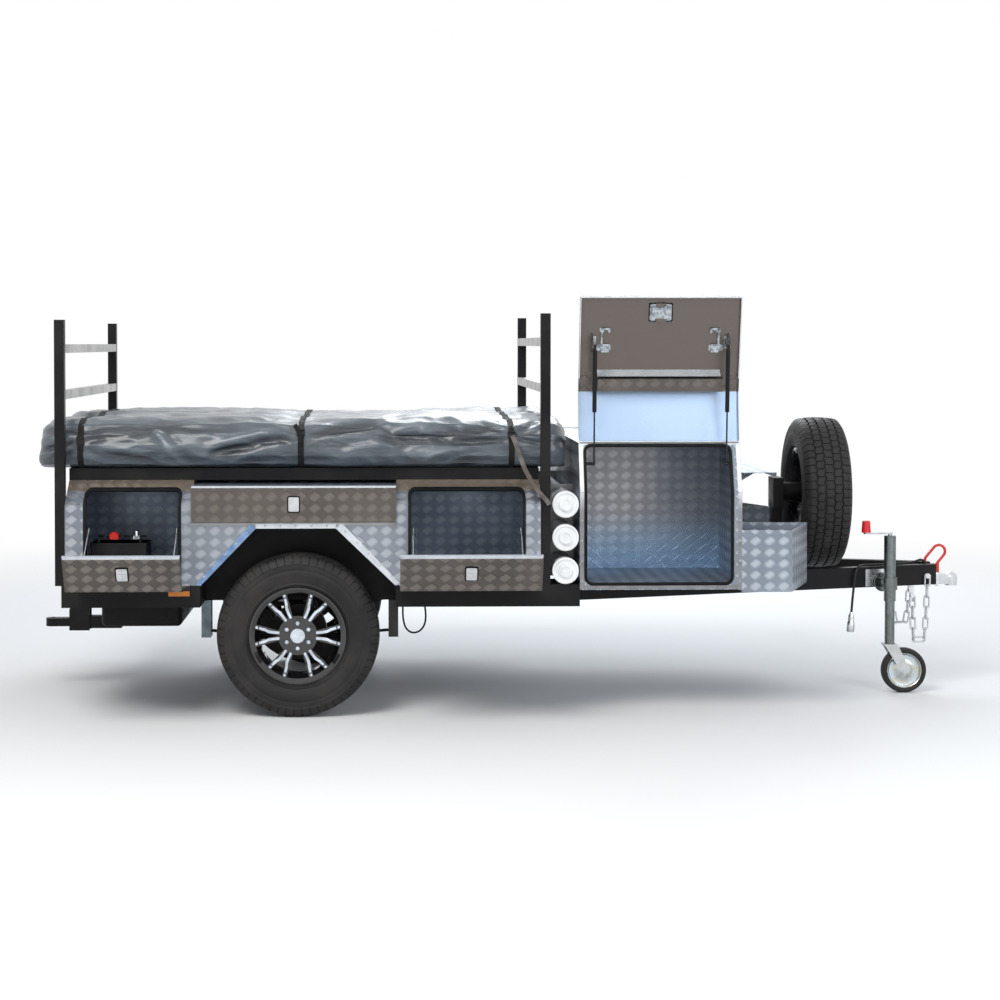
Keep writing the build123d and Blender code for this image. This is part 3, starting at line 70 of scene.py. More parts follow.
def point_along(thing, place, gaze):
    """Stands a camera or a lamp at a place and turns it to look along a direction."""
    thing.location = place
    thing.rotation_mode = "QUATERNION"
    thing.rotation_quaternion = gaze.to_track_quat("-Z", "Y")


camera_data = bpy.data.cameras.new("camera")
camera_data.sensor_width = sensor_mm
camera_data.lens = lens_px * sensor_mm / frame_px
camera_data.shift_x = (frame_px / 2 - vanishing_px[0] - lens_px * math.tan(yaw)) / frame_px
camera_data.shift_y = (vanishing_px[1] - frame_px / 2 + lens_px * math.tan(pitch)) / frame_px
camera = place_in_scene("camera", camera_data)
gaze = Vector((math.sin(yaw) * math.cos(pitch), math.cos(yaw) * math.cos(pitch), -math.sin(pitch)))
point_along(camera, camera_place, gaze)
bpy.context.scene.camera = camera
bpy.context.scene.view_settings.view_transform = "Standard"


def node_of(tree, kind, **values):
    """A shader or geometry node with its properties set."""
    made = tree.nodes.new(kind)
    for name, value in values.items():
        setattr(made, name, value)
    return made


def feed(tree, socket, value):
    """Links an output to a socket, or sets the socket's own value."""
    if isinstance(value, bpy.types.NodeSocket):
        tree.links.new(value, socket)
    else:
        socket.default_value = value


def math_node(tree, operation, *inputs):
    made = node_of(tree, "ShaderNodeMath", operation=operation)
    for socket, value in zip(made.inputs, inputs):
        feed(tree, socket, value)
    return made.outputs[0]


def times(tree, first, second):
    return math_node(tree, "MULTIPLY", first, second)


def rest_of(tree, share):
    return math_node(tree, "SUBTRACT", 1.0, share)


def ramp(tree, value, low, high, to_low=0.0, to_high=1.0):
    """Smooth step of a value between two limits."""
    made = node_of(tree, "ShaderNodeMapRange", interpolation_type="SMOOTHSTEP")
    for socket, number in zip(made.inputs, (value, low, high, to_low, to_high)):
        feed(tree, socket, number)
    return made.outputs[0]


def blend_colours(tree, share, first, second):
    made = node_of(tree, "ShaderNodeMix", data_type="RGBA")
    for socket, value in ((0, share), (6, first), (7, second)):
        feed(tree, made.inputs[socket], value)
    return made.outputs[2]


def along_axes(tree, vector):
    """X, Y and Z of a vector."""
    made = node_of(tree, "ShaderNodeSeparateXYZ")
    feed(tree, made.inputs[0], vector)
    return made.outputs


def noise_of(tree, vector, scale, detail):
    made = node_of(tree, "ShaderNodeTexNoise")
    made.inputs["Detail"].default_value = detail
    feed(tree, made.inputs["Vector"], vector)
    feed(tree, made.inputs["Scale"], scale)
    return made


def raised(tree, height, distance, under=None):
    """Normal of a surface that a height lifts by a distance."""
    bump = node_of(tree, "ShaderNodeBump")
    bump.inputs["Distance"].default_value = distance
    feed(tree, bump.inputs["Height"], height)
    if under:
        feed(tree, bump.inputs["Normal"], under)
    return bump.outputs[0]


def new_material(name):
    """A material, its tree, its shader and the place on the piece."""
    material = bpy.data.materials.new(name)
    material.use_nodes = True
    tree = material.node_tree
    place = node_of(tree, "ShaderNodeTexCoord").outputs["Object"]
    return material, tree, tree.nodes["Principled BSDF"], place


def finish_shader(tree, shader, varying, **constant):
    """Feeds a shader what varies over the surface, and sets the rest on its own sockets."""
    for name, value in varying.items():
        feed(tree, shader.inputs[name.replace("_", " ")], value)
    for name, value in constant.items():
        shader.inputs[name.replace("_", " ")].default_value = value


def seen_ray(tree):
    """One where the eye, a mirror or glass looks straight at a surface, else zero."""
    rays = node_of(tree, "ShaderNodeLightPath").outputs
    direct = math_node(tree, "ADD", rays["Is Camera Ray"], rays["Is Glossy Ray"])
    return math_node(tree, "MINIMUM", math_node(tree, "ADD", direct, rays["Is Transmission Ray"]), 1.0)


floor_radius = 40.0
floor_grey = (0.86, 0.86, 0.86, 1)
floor_fade_start = 3.6
floor_fade_end = 9.0
floor_mesh = bpy.data.meshes.new("floor")
floor_form = bmesh.new()
bmesh.ops.create_circle(floor_form, cap_ends=True, segments=96, radius=floor_radius)
floor_form.to_mesh(floor_mesh)
floor = place_in_scene("floor", floor_mesh)
floor_material, tree, shader, place = new_material("studio_floor")
finish_shader(tree, shader, {}, Base_Color=floor_grey, Roughness=0.7, Specular_IOR_Level=0.1)
away = node_of(tree, "ShaderNodeVectorMath", operation="LENGTH")
feed(tree, away.inputs[0], place)
fade = node_of(tree, "ShaderNodeMixShader")
fade_share = ramp(tree, away.outputs[1], floor_fade_start, floor_fade_end)
feed(tree, fade.inputs[0], times(tree, fade_share, seen_ray(tree)))
feed(tree, fade.inputs[1], shader.outputs[0])
feed(tree, fade.inputs[2], node_of(tree, "ShaderNodeEmission").outputs[0])
feed(tree, tree.nodes["Material Output"].inputs[0], fade.outputs[0])
floor_mesh.materials.append(floor_material)

sky_colour = (0.90, 0.94, 1.0, 1)
sky_strength = 0.55
world = bpy.data.worlds.new("studio")
bpy.context.scene.world = world
world.use_nodes = True
sky_tree = world.node_tree
background = sky_tree.nodes["Background"]
seen = seen_ray(sky_tree)
feed(sky_tree, background.inputs["Color"], blend_colours(sky_tree, seen, sky_colour, (1, 1, 1, 1)))
feed(sky_tree, background.inputs["Strength"], ramp(sky_tree, seen, 0.0, 1.0, sky_strength, 1.0))
studio_lamps = [
    # name, place, aim, size, power, colour
    ("key", (-3.0, -6.0, 6.5), (0, 0, 0.8), 4.0, 420, (1.0, 0.98, 0.95)),
    ("fill", (4.5, -6.5, 3.2), (0.3, 0, 0.8), 3.5, 170, (0.92, 0.96, 1.0)),
    ("back", (1.0, 6.0, 5.0), (0, 0, 0.9), 4.5, 260, (0.9, 0.95, 1.0)),
]
for name, place, aim, size, power, colour in studio_lamps:
    light = bpy.data.lights.new(name, "AREA")
    light.shape = "DISK"
    light.size = size
    light.energy = power
    light.color = colour
    point_along(place_in_scene(name, light), place, Vector(aim) - Vector(place))


def new_group(name, inputs, outputs):
    """A shader node group with named sockets."""
    group = bpy.data.node_groups.new(name, "ShaderNodeTree")
    for socket, kind, value in inputs:
        made = group.interface.new_socket(name=socket, in_out="INPUT", socket_type="NodeSocket" + kind)
        made.default_value = value
    for socket, kind in outputs:
        group.interface.new_socket(name=socket, in_out="OUTPUT", socket_type="NodeSocket" + kind)
    start = group.nodes.new("NodeGroupInput")
    end = group.nodes.new("NodeGroupOutput")
    return group, start.outputs, end.inputs


def use_group(tree, group, **values):
    made = tree.nodes.new("ShaderNodeGroup")
    made.node_tree = group
    for name, value in values.items():
        feed(tree, made.inputs[name.replace("_", " ")], value)
    return made.outputs


# Treadplate: aluminium sheet rolled with groups of short raised bars that lie one way
# and the other. The pattern follows each face by its own normal, so folds keep it whole.
bars_a_cell = 5.0
bar_edge = (0.12, 0.34)
bar_end = (0.36, 0.47)
shaded_bars = 0.3
tread, given, result = new_group(
    "treadplate pattern",
    [
        ("Place", "Vector", (0, 0, 0)), ("Facing", "Vector", (0, 0, 1)),
        ("Cell", "Float", 0.046), ("Squeeze", "Float", 0.8),
    ],
    [("Height", "Float"), ("Bars", "Float")],
)
place = along_axes(tread, given["Place"])
facing = along_axes(tread, given["Facing"])


def tread_math(operation, *inputs):
    return math_node(tread, operation, *inputs)


def mixed(share, first, second):
    """The first value where share is one, the second where it is zero."""
    return tread_math("ADD", times(tread, first, share), times(tread, second, rest_of(tread, share)))


endways = tread_math("GREATER_THAN", tread_math("ABSOLUTE", facing[0]), 0.7)
rise = tread_math("SUBTRACT", times(tread, place[2], facing[1]), times(tread, place[1], facing[2]))
across = mixed(endways, place[1], place[0])
up = tread_math("DIVIDE", mixed(endways, place[2], rise), given["Squeeze"])
diagonal_cell = times(tread, given["Cell"], math.sqrt(2))
turned_a = tread_math("DIVIDE", tread_math("ADD", across, up), diagonal_cell)
turned_b = tread_math("DIVIDE", tread_math("SUBTRACT", across, up), diagonal_cell)
cell_number = tread_math("ADD", tread_math("FLOOR", turned_a), tread_math("FLOOR", turned_b))
parity = tread_math("PINGPONG", cell_number, 1.0)
local_a = tread_math("FRACT", turned_a)
local_b = tread_math("FRACT", turned_b)


def from_middle(share):
    return tread_math("ABSOLUTE", tread_math("SUBTRACT", share, 0.5))


stripe = tread_math("FRACT", times(tread, mixed(parity, local_b, local_a), bars_a_cell))
bar_width = ramp(tread, from_middle(stripe), *bar_edge, 1.0, 0.0)
bar_length = ramp(tread, from_middle(mixed(parity, local_a, local_b)), *bar_end, 1.0, 0.0)
bars = times(tread, bar_width, bar_length)
lit_way = tread_math("ADD", shaded_bars, times(tread, parity, 1.0 - shaded_bars))
feed(tread, result["Bars"], times(tread, bars, lit_way))
feed(tread, result["Height"], bars)

wear, given, result = new_group(
    "soiled metal",
    [
        ("Place", "Vector", (0, 0, 0)), ("Clean", "Color", (0.6, 0.6, 0.6, 1)),
        ("Soiled", "Color", (0.3, 0.3, 0.3, 1)), ("Scale", "Float", 6.0), ("Amount", "Float", 0.5),
        ("Smooth", "Float", 0.25), ("Rough", "Float", 0.5),
    ],
    [("Color", "Color"), ("Roughness", "Float"), ("Grain", "Float")],
)
grain_share = 40.0
clouds = noise_of(wear, given["Place"], given["Scale"], 6).outputs[0]
grain = noise_of(wear, given["Place"], times(wear, given["Scale"], grain_share), 3)
soiled_share = times(wear, ramp(wear, clouds, 0.38, 0.66), given["Amount"])
rough_range = math_node(wear, "SUBTRACT", given["Rough"], given["Smooth"])
rough = math_node(wear, "ADD", given["Smooth"], times(wear, ramp(wear, clouds, 0.3, 0.7), rough_range))
feed(wear, result["Color"], blend_colours(wear, soiled_share, given["Clean"], given["Soiled"]))
feed(wear, result["Roughness"], rough)
feed(wear, result["Grain"], grain.outputs[0])


def metal(
    name, clean, soiled, smooth, rough, scale=6.0, amount=0.5, metallic=1.0, grain=0.0002, coat=0.0,
    gloss=0.5,
):
    """Bare, plated or painted sheet and castings with soiling and a fine grain."""
    material, tree, shader, place = new_material(name)
    soil = use_group(
        tree, wear, Place=place, Clean=(*clean, 1), Soiled=(*soiled, 1), Scale=scale, Amount=amount,
        Smooth=smooth, Rough=rough,
    )
    finish_shader(
        tree, shader,
        {
            "Base Color": soil["Color"], "Roughness": soil["Roughness"],
            "Normal": raised(tree, soil["Grain"], grain),
        },
        Metallic=metallic, Coat_Weight=coat, Specular_IOR_Level=gloss,
    )
    return material


def treadplate(name, clean, soiled, bar_colour, smooth=0.30, rough=0.42, retouch=None):
    """Rolled treadplate: the soiled sheet with brighter bars standing 1.8 mm proud."""
    material, tree, shader, place = new_material(name)
    facing = node_of(tree, "ShaderNodeTexCoord").outputs["Normal"]
    pattern = use_group(tree, tread, Place=place, Facing=facing)
    soil = use_group(
        tree, wear, Place=place, Clean=(*clean, 1), Soiled=(*soiled, 1), Scale=3.0, Amount=0.7,
        Smooth=smooth, Rough=rough,
    )
    share = times(tree, pattern["Bars"], 0.85)
    colour = blend_colours(tree, share, soil["Color"], (*bar_colour, 1))
    height = pattern["Height"]
    if retouch:
        colour, height = retouch(tree, along_axes(tree, place), along_axes(tree, facing), colour, height)
    finish_shader(
        tree, shader,
        {"Base Color": colour, "Roughness": soil["Roughness"], "Normal": raised(tree, height, 0.0018)},
        Metallic=0.85,
    )
    return material


def dress(material, *names):
    """Gives CAD nodes their finish."""
    for name in names:
        mesh = nodes[name].data
        mesh.materials.clear()
        mesh.materials.append(material)


def shade_under_the_rail(tree, place, facing, colour, height):
    """The top of the sloped skin, painted brown under the rail as painted shade."""
    # painted shade: the top band of the sloped skin is painted brown under the rail
    above = ramp(tree, place[2], 1.030, 1.042)
    below = ramp(tree, place[2], 1.194, 1.206, 1.0, 0.0)
    share = times(tree, times(tree, above, below), 0.85)
    return blend_colours(tree, share, colour, (0.30, 0.235, 0.17, 1)), height


def smooth_inside(tree, place, facing, colour, height):
    """The plain inner face of a dropped door, painted pale blue as a painted sky reflection: the pattern is
    rolled on the outer face only.
    """
    inside = ramp(tree, facing[2], 0.55, 0.65)
    # painted sky reflection on the inner face
    colour = blend_colours(tree, inside, colour, (0.46, 0.51, 0.58, 1))
    return colour, times(tree, height, rest_of(tree, inside))


def lid_faces(tree, place, facing, colour, height):
    """Inner face of the raised lid: bare, painted dark brown over its plain panel as a painted reflection of
    the ground, and painted pale blue on its slope as a painted sky reflection.
    """
    inside = ramp(tree, facing[1], -0.65, -0.55, 1.0, 0.0)
    outside = times(tree, ramp(tree, facing[1], 0.3, 0.5), 0.75)
    plain = times(tree, inside, ramp(tree, place[2], 1.574, 1.578))
    slope = times(tree, inside, ramp(tree, place[2], 1.488, 1.492, 1.0, 0.0))
    # painted reflections: brown of the ground on the plain panel, pale blue of the sky on the slope
    for share, tone in (
        (outside, (0.42, 0.46, 0.53, 1)), (plain, (0.150, 0.128, 0.116, 1)), (slope, (0.40, 0.52, 0.70, 1)),
    ):
        colour = blend_colours(tree, share, colour, tone)
    flat = math_node(tree, "MAXIMUM", plain, times(tree, slope, 0.88))
    return colour, times(tree, height, rest_of(tree, flat))


def sky_lit_foot(tree, place, facing, colour, height):
    """Inside the front box: painted shade, warm, dull and darker towards the front under its lid, and painted
    sky light, blue low down where the sky gets in.
    """
    # painted sky light low down and painted shade towards the front
    low = times(tree, ramp(tree, place[2], 0.62, 0.92, 1.0, 0.0), 0.75)
    forward = times(tree, ramp(tree, place[0], 0.55, 0.85), 0.55)
    colour = blend_colours(tree, forward, colour, (0.16, 0.19, 0.25, 1))
    return blend_colours(tree, low, colour, (0.32, 0.55, 0.85, 1)), height


# painted reflection: the dropped doors, the tailgate and the raised near lid get a dark brown copy of the
# treadplate, standing in for the dark ground they reflect
shade = (0.120, 0.105, 0.096)
shade_soil = (0.075, 0.067, 0.062)
shade_bars = (0.33, 0.30, 0.27)
plates = [
    # name, sheet, soiled sheet, bars, retouch, nodes
    ("bright", (0.23, 0.27, 0.33), (0.11, 0.14, 0.18), (0.86, 0.90, 0.95), None, (
        "floors", "end_walls", "box_shell", "box_ends", "front_holders", "front_shelf", "box_lid_far",
        "door_rear_far", "door_front_far", "door_centre_far",
    )),
    ("skin", (0.24, 0.27, 0.32), (0.11, 0.135, 0.175), (0.90, 0.92, 0.95), shade_under_the_rail, (
        "side_skin_near", "side_skin_far",
    )),
    # painted shade inside the boxes: the same sheet with dimmer bars
    ("inner", (0.22, 0.26, 0.33), (0.12, 0.15, 0.20), (0.50, 0.56, 0.66), None, (
        "toolbox_walls", "centre_boxes",
    )),
    ("box_inner", (0.30, 0.30, 0.31), (0.17, 0.18, 0.20), (0.86, 0.86, 0.88), sky_lit_foot, (
        "box_partitions",
    )),
    ("shaded", shade, shade_soil, shade_bars, smooth_inside, (
        "door_rear_near", "door_front_near", "door_centre_near", "tailgate",
    )),
    ("lid", shade, shade_soil, shade_bars, lid_faces, ("box_lid_near",)),
]
for name, clean, soiled, bar_colour, retouch, names in plates:
    dress(treadplate(f"{name}_treadplate", clean, soiled, bar_colour, retouch=retouch), *names)

# Chassis and running gear: square tube welded up and powder coated satin black, with
# galvanised jockey parts and hitch fittings, and zinc-plated struts and bright castings.
black_steel = metal(
    "black_powder_coat", (0.007, 0.007, 0.008), (0.018, 0.017, 0.016), 0.34, 0.55, scale=5.0,
    amount=0.6, metallic=0.0, grain=0.00025, gloss=0.16,
)
aluminium = metal(
    "brushed_aluminium", (0.36, 0.36, 0.36), (0.22, 0.22, 0.22), 0.3, 0.42, scale=10.0, amount=0.5
)
bright_zinc = metal(
    "bright_zinc", (0.70, 0.72, 0.74), (0.48, 0.49, 0.50), 0.14, 0.32, scale=30.0, amount=0.5
)
black_plastic = metal(
    "black_moulding", (0.010, 0.010, 0.011), (0.02, 0.02, 0.02), 0.35, 0.5, metallic=0.0,
    grain=0.0003, gloss=0.25,
)
white_plastic = metal(
    "white_pipe", (0.82, 0.83, 0.83), (0.60, 0.60, 0.58), 0.24, 0.4, scale=12.0, amount=0.5,
    metallic=0.0, grain=0.0001,
)
red_coating = metal(
    "red_coating", (0.62, 0.02, 0.012), (0.40, 0.012, 0.01), 0.25, 0.42, scale=20.0, amount=0.5,
    metallic=0.0,
)
# painted shade: the zinc-plated strut rods get a dark steel that stands in for the shade on their side
strut_rod_shade = metal(
    "strut_steel_painted_shade", (0.045, 0.046, 0.050), (0.03, 0.03, 0.03), 0.22, 0.36, scale=30.0, amount=0.5
)
dress(
    black_steel, "chassis_rails", "cross_beams", "drawbar_rails", "axle_beam", "leaf_springs",
    "strut_brackets", "arch_liners", "rack_posts", "front_tray", "spare_carrier", "rear_hitch",
    "top_frame", "strut_cylinders", "drum_near", "drum_far", "water_tank",
)
dress(aluminium, "rack_slats", "door_hinges", "tube_plates")
dress(strut_rod_shade, "strut_rods")
dress(white_plastic, "storage_tubes")
dress(black_plastic, "battery")
dress(red_coating, "coupling_handle")

# Rolled tent under its travel cover: a soft bundle on the bed board, in coated grey fabric
# pulled down by three straps. Loose cloth folds along it and gathers towards each strap.
cover_rear = -2.186
cover_front = 0.254
cover_low = 1.139
cover_high = 1.386
cover_half = 0.846
cover_straps = (-2.008, -0.981, -0.008)
cover_grid = 0.009
cover_around = 220
cover_end_run = 0.085
cover_section = [
    # distance from the middle line as a share of the half width, height as a share
    (0.90, 0.0), (0.965, 0.07), (0.995, 0.24), (1.0, 0.46), (0.985, 0.68), (0.93, 0.86),
    (0.82, 0.955), (0.55, 0.99), (0.0, 1.0),
]
# painted light on the folds: the ridges are painted lighter, a painted highlight, and the valleys darker,
# painted shade with some dirt
ridge_highlight = (0.36, 0.40, 0.43, 1)
valley_shade_and_dirt_colour = (0.022, 0.028, 0.036, 1)
cover_material, tree, shader, place = new_material("coated_tent_cover")
soil = use_group(
    tree, wear, Place=place, Clean=(0.086, 0.106, 0.126, 1), Soiled=(0.058, 0.073, 0.089, 1),
    Scale=2.6, Amount=0.6, Smooth=0.34, Rough=0.50,
)
crease_depth = node_of(tree, "ShaderNodeAttribute", attribute_name="crease").outputs["Fac"]
ridge_highlight_share = times(tree, ramp(tree, crease_depth, 0.006, 0.020), 0.55)
ridge_lit_colour = blend_colours(tree, ridge_highlight_share, soil["Color"], ridge_highlight)
valley_shade_and_dirt_share = ramp(tree, crease_depth, -0.012, 0.004, 1.0, 0.0)
stretched = node_of(tree, "ShaderNodeMapping")
stretched.inputs["Scale"].default_value = (0.45, 1.0, 1.3)
feed(tree, stretched.inputs[0], place)
crinkle = noise_of(tree, stretched.outputs[0], 26, 5)
crinkle.inputs["Distortion"].default_value = 0.8
weave = noise_of(tree, place, 900, 2)
crinkled = raised(tree, crinkle.outputs[0], 0.007)
finish_shader(
    tree, shader,
    {
        "Base Color": blend_colours(tree, valley_shade_and_dirt_share, ridge_lit_colour, valley_shade_and_dirt_colour), "Roughness": soil["Roughness"],
        "Normal": raised(tree, weave.outputs[0], 0.0003, crinkled),
    },
    Coat_Weight=0.4, Coat_Roughness=0.2,
)


def cover_point(share):
    """A point of the bundle's half section, for a share of the way from its foot to its top."""
    reach = share * (len(cover_section) - 1)
    step = min(int(reach), len(cover_section) - 2)
    (width, height), (next_width, next_height) = cover_section[step:step + 2]
    part = reach - step
    return width + (next_width - width) * part, height + (next_height - height) * part


def join_rings(form, rings, looped=False, capped=False):
    """Faces between neighbouring rings of points, each ring closed on itself."""
    for here, after in zip(rings, rings[1:] + rings[:1] if looped else rings[1:]):
        for index in range(len(here)):
            beside = (index + 1) % len(here)
            form.faces.new((here[index], here[beside], after[beside], after[index]))
    if capped:
        form.faces.new(rings[0])
        form.faces.new(rings[-1])


cover_along = int((cover_front - cover_rear) / cover_grid)
cover_mesh = bpy.data.meshes.new("tent_cover")
cover_form = bmesh.new()
rings = []
for i in range(cover_along + 1):
    x = cover_rear + (cover_front - cover_rear) * i / cover_along
    to_end = min(x - cover_rear, cover_front - x) / cover_end_run
    swell = math.sqrt(max(0.0, 1 - (1 - min(1.0, to_end)) ** 2))
    pull = sum(math.exp(-(((x - strap) / 0.10) ** 2)) for strap in cover_straps)
    ring = []
    for j in range(cover_around + 1):
        turn = 2.0 * j / cover_around
        side = -1 if turn <= 1 else 1
        width, height = cover_point(turn if turn <= 1 else 2 - turn)
        y = side * width * cover_half * (0.86 + 0.14 * swell) * (1 - 0.012 * pull)
        sag = 0.010 * math.sin(x * 3.1 + side) + 0.008 * math.sin(x * 7.3 + 1.7 * side)
        top = cover_low + (cover_high - 0.012 + sag * 0.6 - cover_low) * (0.55 + 0.45 * swell)
        z = cover_low + height * (top - cover_low) * (1 - 0.05 * pull * height)
        ring.append(cover_form.verts.new((x, y, z)))
    rings.append(ring)
join_rings(cover_form, rings)
for ring in (rings[0], rings[-1]):
    hub = cover_form.verts.new(sum((vert.co for vert in ring), Vector()) / len(ring))
    for index in range(len(ring)):
        cover_form.faces.new((ring[index - 1], ring[index], hub))
bmesh.ops.recalc_face_normals(cover_form, faces=cover_form.faces)

# Folds that the straps pull into the flank
near_folds = [
    # start x and z, end x and z, width, depth, bow
    (-1.99, 1.292, -1.60, 1.330, 0.020, 0.016, 0.012), (-1.99, 1.262, -1.64, 1.300, 0.018, 0.014, 0.010),
    (-1.60, 1.330, -1.30, 1.292, 0.022, 0.010, 0.010), (-1.66, 1.325, -1.55, 1.205, 0.016, -0.012, 0.0),
    (-1.42, 1.195, -1.02, 1.275, 0.022, 0.022, 0.015), (-1.34, 1.215, -1.15, 1.240, 0.016, 0.010, 0.0),
    (-1.95, 1.215, -1.62, 1.190, 0.020, 0.012, -0.01), (-0.96, 1.285, -0.62, 1.335, 0.020, 0.020, 0.010),
    (-0.62, 1.335, -0.42, 1.310, 0.018, 0.014, -0.022), (-0.62, 1.270, -0.10, 1.298, 0.024, 0.020, 0.006),
    (-0.30, 1.255, -0.02, 1.272, 0.018, 0.016, 0.0), (-0.42, 1.335, -0.04, 1.300, 0.018, 0.013, 0.008),
    (-0.16, 1.345, -0.02, 1.302, 0.012, 0.012, 0.0), (0.00, 1.300, 0.12, 1.345, 0.012, 0.012, 0.0),
    (0.00, 1.290, 0.13, 1.300, 0.012, 0.012, 0.0), (0.01, 1.280, 0.14, 1.250, 0.012, 0.012, 0.0),
    (-0.80, 1.210, -0.55, 1.250, 0.026, -0.010, 0.0), (-0.52, 1.200, -0.20, 1.230, 0.024, -0.010, 0.0),
    (-1.96, 1.300, -2.12, 1.330, 0.014, 0.010, 0.0), (-2.02, 1.260, -2.15, 1.230, 0.014, 0.010, 0.0),
    (-2.02, 1.215, -2.14, 1.190, 0.012, 0.010, 0.0),
]
chance = random.Random(7)
far_folds = []
for _ in range(26):
    x = chance.uniform(cover_rear + 0.1, cover_front - 0.35)
    z = chance.uniform(1.19, 1.34)
    far_folds.append((
        x, z, x + chance.uniform(0.15, 0.40), z + chance.uniform(-0.05, 0.05),
        chance.uniform(0.014, 0.024), chance.uniform(-0.012, 0.018), chance.uniform(-0.015, 0.015),
    ))
folds_of = {
    side: [(Vector(row[:2]), Vector(row[2:4]) - Vector(row[:2]), *row[4:]) for row in rows]
    for side, rows in (("near", near_folds), ("far", far_folds))
}


def fold_depth(x, z, folds):
    """How far the folds draw the flank in at a place."""
    depth = 0.0
    for start, run, width, most, bow in folds:
        along = (Vector((x, z)) - start).dot(run) / run.length_squared
        if not -0.1 < along < 1.1:
            continue
        off = (z - start.y - run.y * along - bow * 4 * along * (1 - along)) / width
        if abs(off) > 3.2:
            continue
        taper = max(0.0, 1 - (2 * along - 1) ** 4)
        depth += most * taper * (math.exp(-off * off) - 0.55 * math.exp(-((off - 1.5) ** 2)))
    return depth


cover_form.normal_update()
moves = []
depths = []
for vert in cover_form.verts:
    x, y, z = vert.co
    if z < cover_low + 0.004:
        moves.append(Vector())
        depths.append(0.0)
        continue
    flank = min(1.0, max(0.0, (abs(y) - 0.55) / 0.2))
    draw = fold_depth(x, z, folds_of["near" if y < 0 else "far"]) * flank
    end_share = max(0.0, 1 - min(x - cover_rear, cover_front - x) / 0.14)
    broad = noise.noise(Vector((x * 1.9, y * 2.6, z * 4.5))) * 0.020
    middle = noise.noise(Vector((x * 6.5 + 3, y * 8.0, z * 15.0))) * 0.009
    ridge = 0.5 - abs(noise.noise(Vector((x * 7.5, y * 7.0 + 5, z * 17.0 + x * 3.0))))
    small = (ridge - 0.35) * (0.012 + 0.012 * end_share)
    calm = min(1.0, min(abs(x - strap) for strap in cover_straps) / 0.05)
    foot = min(1.0, (z - cover_low) / 0.03)
    moves.append(vert.normal * ((broad + middle + small * calm - draw) * foot))
    depths.append(middle * 0.8 + small * calm * 1.2 - draw)
for vert, move in zip(list(cover_form.verts), moves):
    vert.co += move
    vert.co.x = min(max(vert.co.x, cover_rear), cover_front)
    vert.co.z = min(max(vert.co.z, cover_low - 0.001), cover_high + 0.014)
bmesh.ops.smooth_vert(
    cover_form, verts=cover_form.verts[:], factor=0.25, use_axis_x=True, use_axis_y=True, use_axis_z=True
)
cover_form.to_mesh(cover_mesh)
cover_form.free()
# the fold depth, kept as the crease attribute, drives the painted highlight on ridges and the painted shade
# in valleys
cover_mesh.attributes.new("crease", "FLOAT", "POINT").data.foreach_set("value", depths)
cover_mesh.materials.append(cover_material)
cover_mesh.shade_smooth()
cover = place_in_scene("tent_cover", cover_mesh)
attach(cover, "root")
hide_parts("tent_bundle")

# Road wheels and the spare: moulded rubber tyres with five zigzag ribs and notched
# shoulders, on gloss black alloy rims whose spoke faces are machined bright.
rubber = metal(
    "tyre_rubber", (0.013, 0.0125, 0.013), (0.034, 0.031, 0.029), 0.5, 0.72, scale=7.0, amount=0.75,
    metallic=0.0, grain=0.0006, gloss=0.28,
)
wheel_list = [
    # name, body, centre, radial direction, outward axle direction
    ("near", "wheel_near", (-0.992, -0.810, 0.375), (1, 0, 0), (0, -1, 0)),
    ("far", "wheel_far", (-0.992, 0.810, 0.375), (1, 0, 0), (0, 1, 0)),
    ("spare", "root", (1.564, 0, 0.968), (0, 1, 0), (1, 0, 0)),
]
tyre_pitches = 58
groove_centres = (-0.062, -0.022, 0.022, 0.062)
groove_half = 0.0042
groove_depth = 0.009
zigzag = 0.0035
slot_depth = 0.007
shoulder_depth = 0.006
pitch_rows = (0.0, 0.035, 0.095, 0.13, 0.32, 0.5, 0.535, 0.595, 0.63, 0.82)
tyre_side = [
    # radius, distance from the middle plane, depth of the notches there
    (0.2115, 0.089, 0.0), (0.2220, 0.092, 0.0), (0.2270, 0.100, 0.0), (0.2340, 0.1085, 0.0),
    (0.2370, 0.1125, 0.0), (0.2410, 0.1125, 0.0), (0.2440, 0.1105, 0.0), (0.2550, 0.1145, 0.0),
    (0.2700, 0.1180, 0.0), (0.2850, 0.1196, 0.0), (0.2990, 0.1194, 0.0), (0.3010, 0.1180, 0.0),
    (0.3035, 0.1180, 0.0), (0.3055, 0.1190, 0.0), (0.3200, 0.1172, 0.0), (0.3290, 0.1158, 0.0),
    (0.3310, 0.1168, 0.0), (0.3430, 0.1120, shoulder_depth), (0.3560, 0.1030, shoulder_depth),
    (0.3640, 0.0965, shoulder_depth),
]


def tread_column(across, bend, sunk, slot, phase):
    """A column of the tread, on the crown of the tyre."""
    return 0.375 - 0.0082 * (across / 0.094) ** 2, across, bend, sunk, slot, phase


# Columns over the tyre, from outer bead to inner: radius, across, zigzag, depth, slot and phase
columns = [(radius, across, 0.0, 0.0, notch, 0.0) for radius, across, notch in tyre_side]
ribs = [0.0915, *reversed(groove_centres), -0.0915]
for rib, (start, end) in enumerate(zip(ribs, ribs[1:])):
    slot = shoulder_depth if rib in (0, 4) else slot_depth
    phase = 0.5 * (rib % 2)
    left = start if rib == 0 else start - groove_half
    right = end if rib == 4 else end + groove_half
    for share in (0.0, 0.06, 0.5, 0.94, 1.0):
        straight = (rib == 0 and share < 0.5) or (rib == 4 and share > 0.5)
        sunk = 0.0012 if share in (0.0, 1.0) else 0.0
        across = left + (right - left) * share
        columns.append(tread_column(across, 0.0 if straight else zigzag, sunk, slot, phase))
    if rib < 4:
        for across in (right - 0.0008, end - groove_half + 0.0008):
            columns.append(tread_column(across, zigzag, groove_depth, 0.0, phase))
